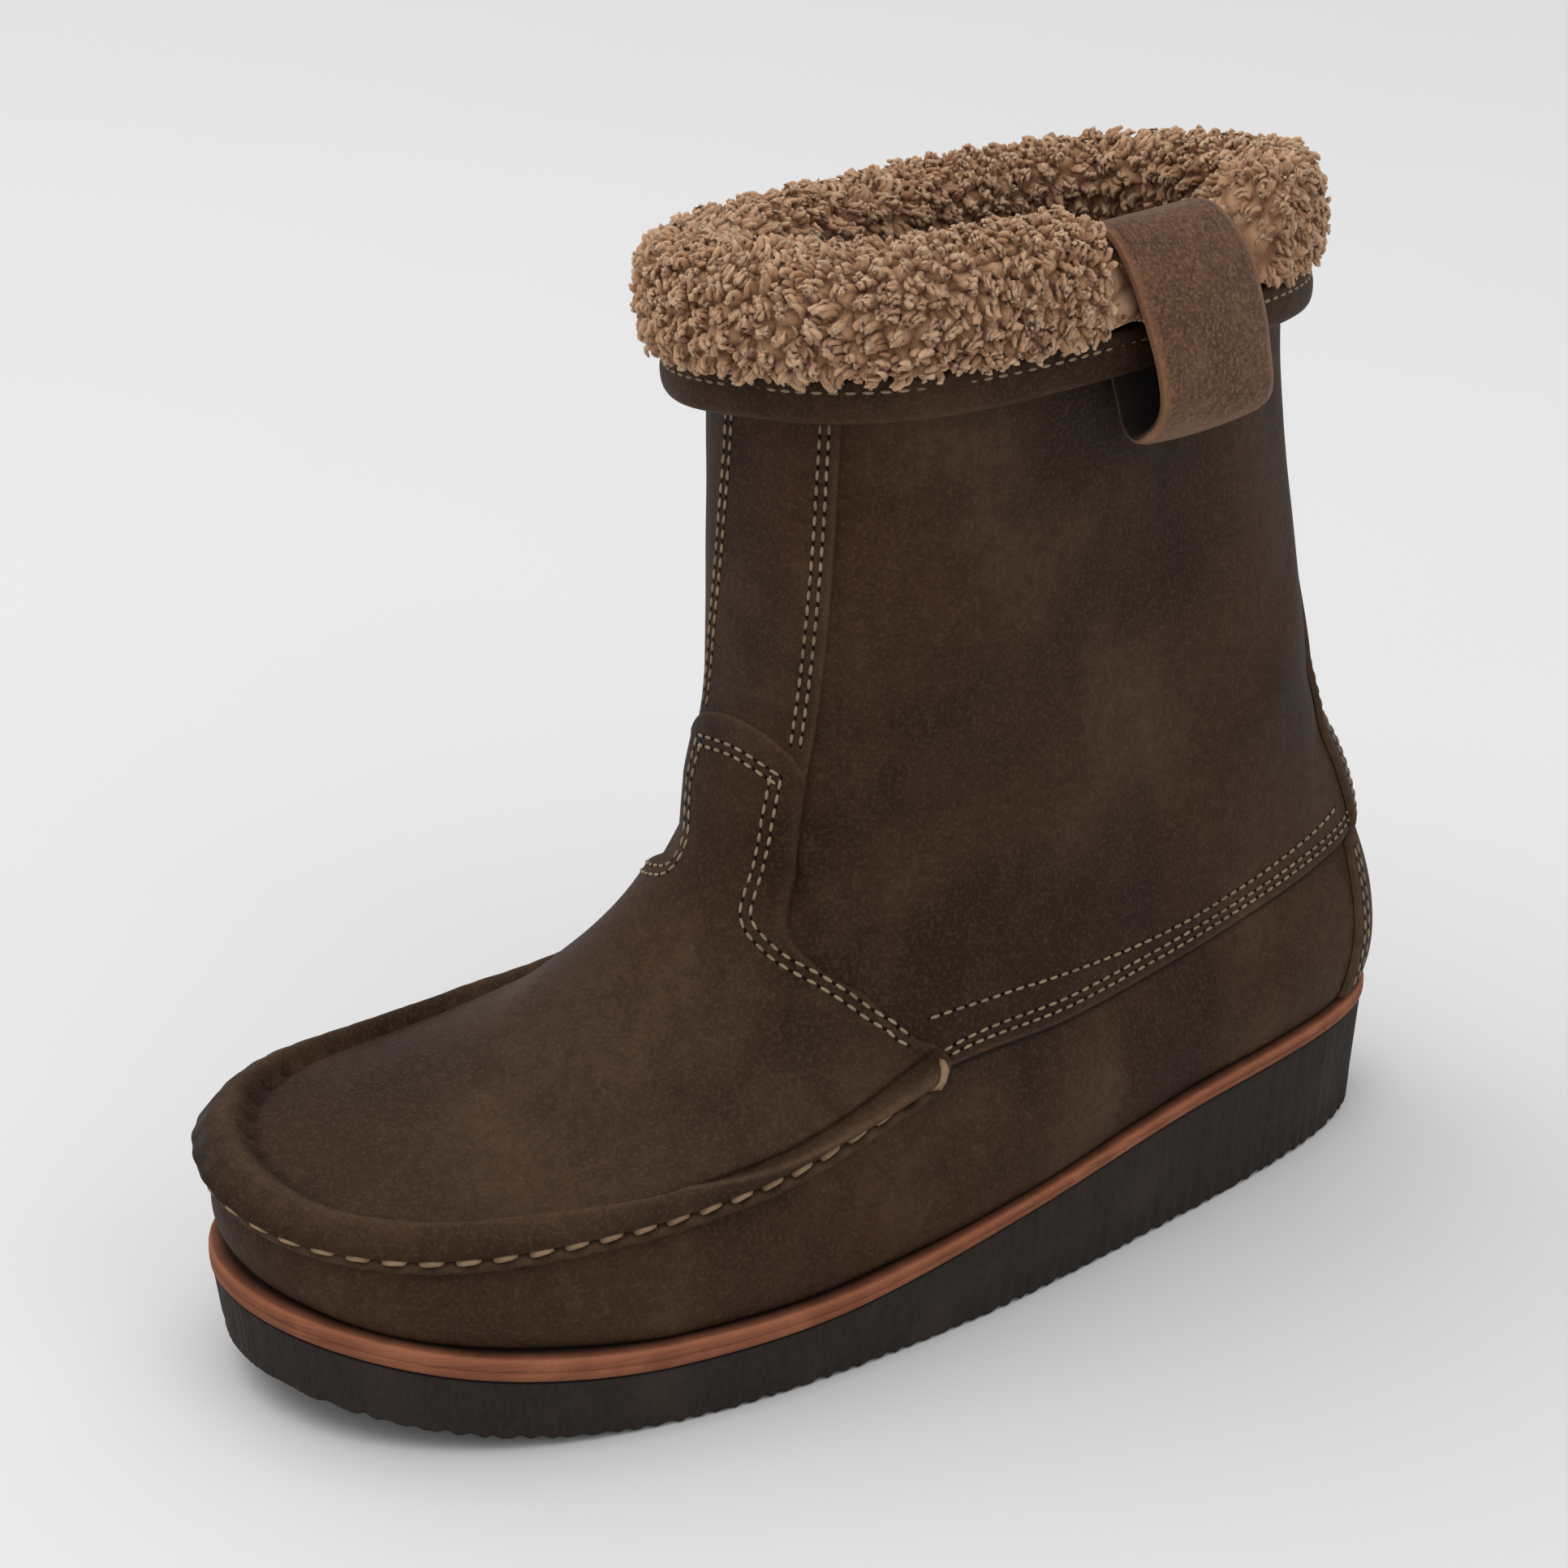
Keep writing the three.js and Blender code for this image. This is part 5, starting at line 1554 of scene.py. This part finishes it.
class BootColours(bpy.types.PropertyGroup):
    leather: colour("Leather", "Upper leather", 60, 42, 28)
    leather_dark: colour("Leather, dark", "Waxed and dirty places", 38, 25, 15)
    leather_worn: colour("Leather, worn", "Rubbed edges and pull-up", 96, 74, 55)
    leather_red: colour("Leather, red", "Reddish patches", 62, 37, 21)
    lining: colour("Lining", "Inside of the upper", 112, 92, 72)
    suede: colour("Suede", "Pull loop", 80, 54, 37)
    fleece: colour("Fleece", "Middle of the locks", 190, 146, 112)
    fleece_root: colour("Fleece, roots", "Between the locks", 126, 88, 62)
    fleece_tip: colour("Fleece, tips", "Tips of the locks", 218, 180, 146)
    midsole: colour("Midsole", "Leather midsole", 122, 72, 50)
    rubber: colour("Rubber", "Sole", 50, 42, 38)
    thread: colour("Thread", "Machine stitching", 150, 132, 106)
    hand_thread: colour("Hand thread", "Stitches of the moccasin seam", 146, 120, 90)
    floor: colour("Floor", "Studio floor", 226, 226, 226)


class Steps:
    """What the operators share: each runs its steps in order."""

    steps = ()

    def execute(self, context):
        for step in self.steps:
            step()
        return {"FINISHED"}


class MakeUpper(Steps, bpy.types.Operator):
    """Builds the leather upper"""

    bl_idname = "boot.make_upper"
    bl_label = "Upper"
    steps = (make_upper,)


class MakeVamp(Steps, bpy.types.Operator):
    """Builds the moccasin plug, its lip and its hand stitches"""

    bl_idname = "boot.make_vamp"
    bl_label = "Vamp and seam"
    steps = (make_vamp, make_lip, make_hand_stitches)


class MakeTrims(Steps, bpy.types.Operator):
    """Builds the shin strip, the heel strip and the heel cup"""

    bl_idname = "boot.make_trims"
    bl_label = "Strips and heel"
    steps = (make_trims,)


class MakeStitches(Steps, bpy.types.Operator):
    """Builds all machine stitching"""

    bl_idname = "boot.make_stitches"
    bl_label = "Stitching"
    steps = (make_stitches,)


class MakeCuff(Steps, bpy.types.Operator):
    """Builds the fleece cuff and its hem"""

    bl_idname = "boot.make_cuff"
    bl_label = "Fleece cuff"
    steps = (make_hem, make_fleece)


class MakeLoop(Steps, bpy.types.Operator):
    """Builds the suede pull loop"""

    bl_idname = "boot.make_loop"
    bl_label = "Pull loop"
    steps = (make_loop,)


class MakeSole(Steps, bpy.types.Operator):
    """Builds rubber, midsole and footbed"""

    bl_idname = "boot.make_sole"
    bl_label = "Sole"
    steps = (make_sole,)


class MakeStage(Steps, bpy.types.Operator):
    """Builds floor, lights and camera"""

    bl_idname = "boot.make_stage"
    bl_label = "Stage"
    steps = (make_stage,)


OPERATORS = (MakeUpper, MakeVamp, MakeTrims, MakeStitches, MakeCuff, MakeLoop, MakeSole, MakeStage)


class BootPanel(bpy.types.Panel):
    """Lists the boot's sizes, colours and pieces"""

    bl_idname = "VIEW3D_PT_boot"
    bl_label = "Boot"
    bl_space_type = "VIEW_3D"
    bl_region_type = "UI"
    bl_category = "Boot"

    def draw(self, context):
        for group in (context.scene.boot_sizes, context.scene.boot_colours):
            for name in group.__annotations__:
                self.layout.prop(group, name)
        for operator in OPERATORS:
            self.layout.operator(operator.bl_idname)


CLASSES = (BootSizes, BootColours, *OPERATORS, BootPanel)


def register():
    for cls in CLASSES:
        bpy.utils.register_class(cls)
    bpy.types.Scene.boot_sizes = bpy.props.PointerProperty(type=BootSizes)
    bpy.types.Scene.boot_colours = bpy.props.PointerProperty(type=BootColours)


def unregister():
    del bpy.types.Scene.boot_colours
    del bpy.types.Scene.boot_sizes
    for cls in reversed(CLASSES):
        bpy.utils.unregister_class(cls)


def main():
    register()
    bpy.ops.boot.make_upper()
    bpy.ops.boot.make_vamp()
    bpy.ops.boot.make_trims()
    bpy.ops.boot.make_stitches()
    bpy.ops.boot.make_cuff()
    bpy.ops.boot.make_loop()
    bpy.ops.boot.make_sole()
    bpy.ops.boot.make_stage()
    bpy.context.view_layer.update()


if __name__ == "__main__":
    main()
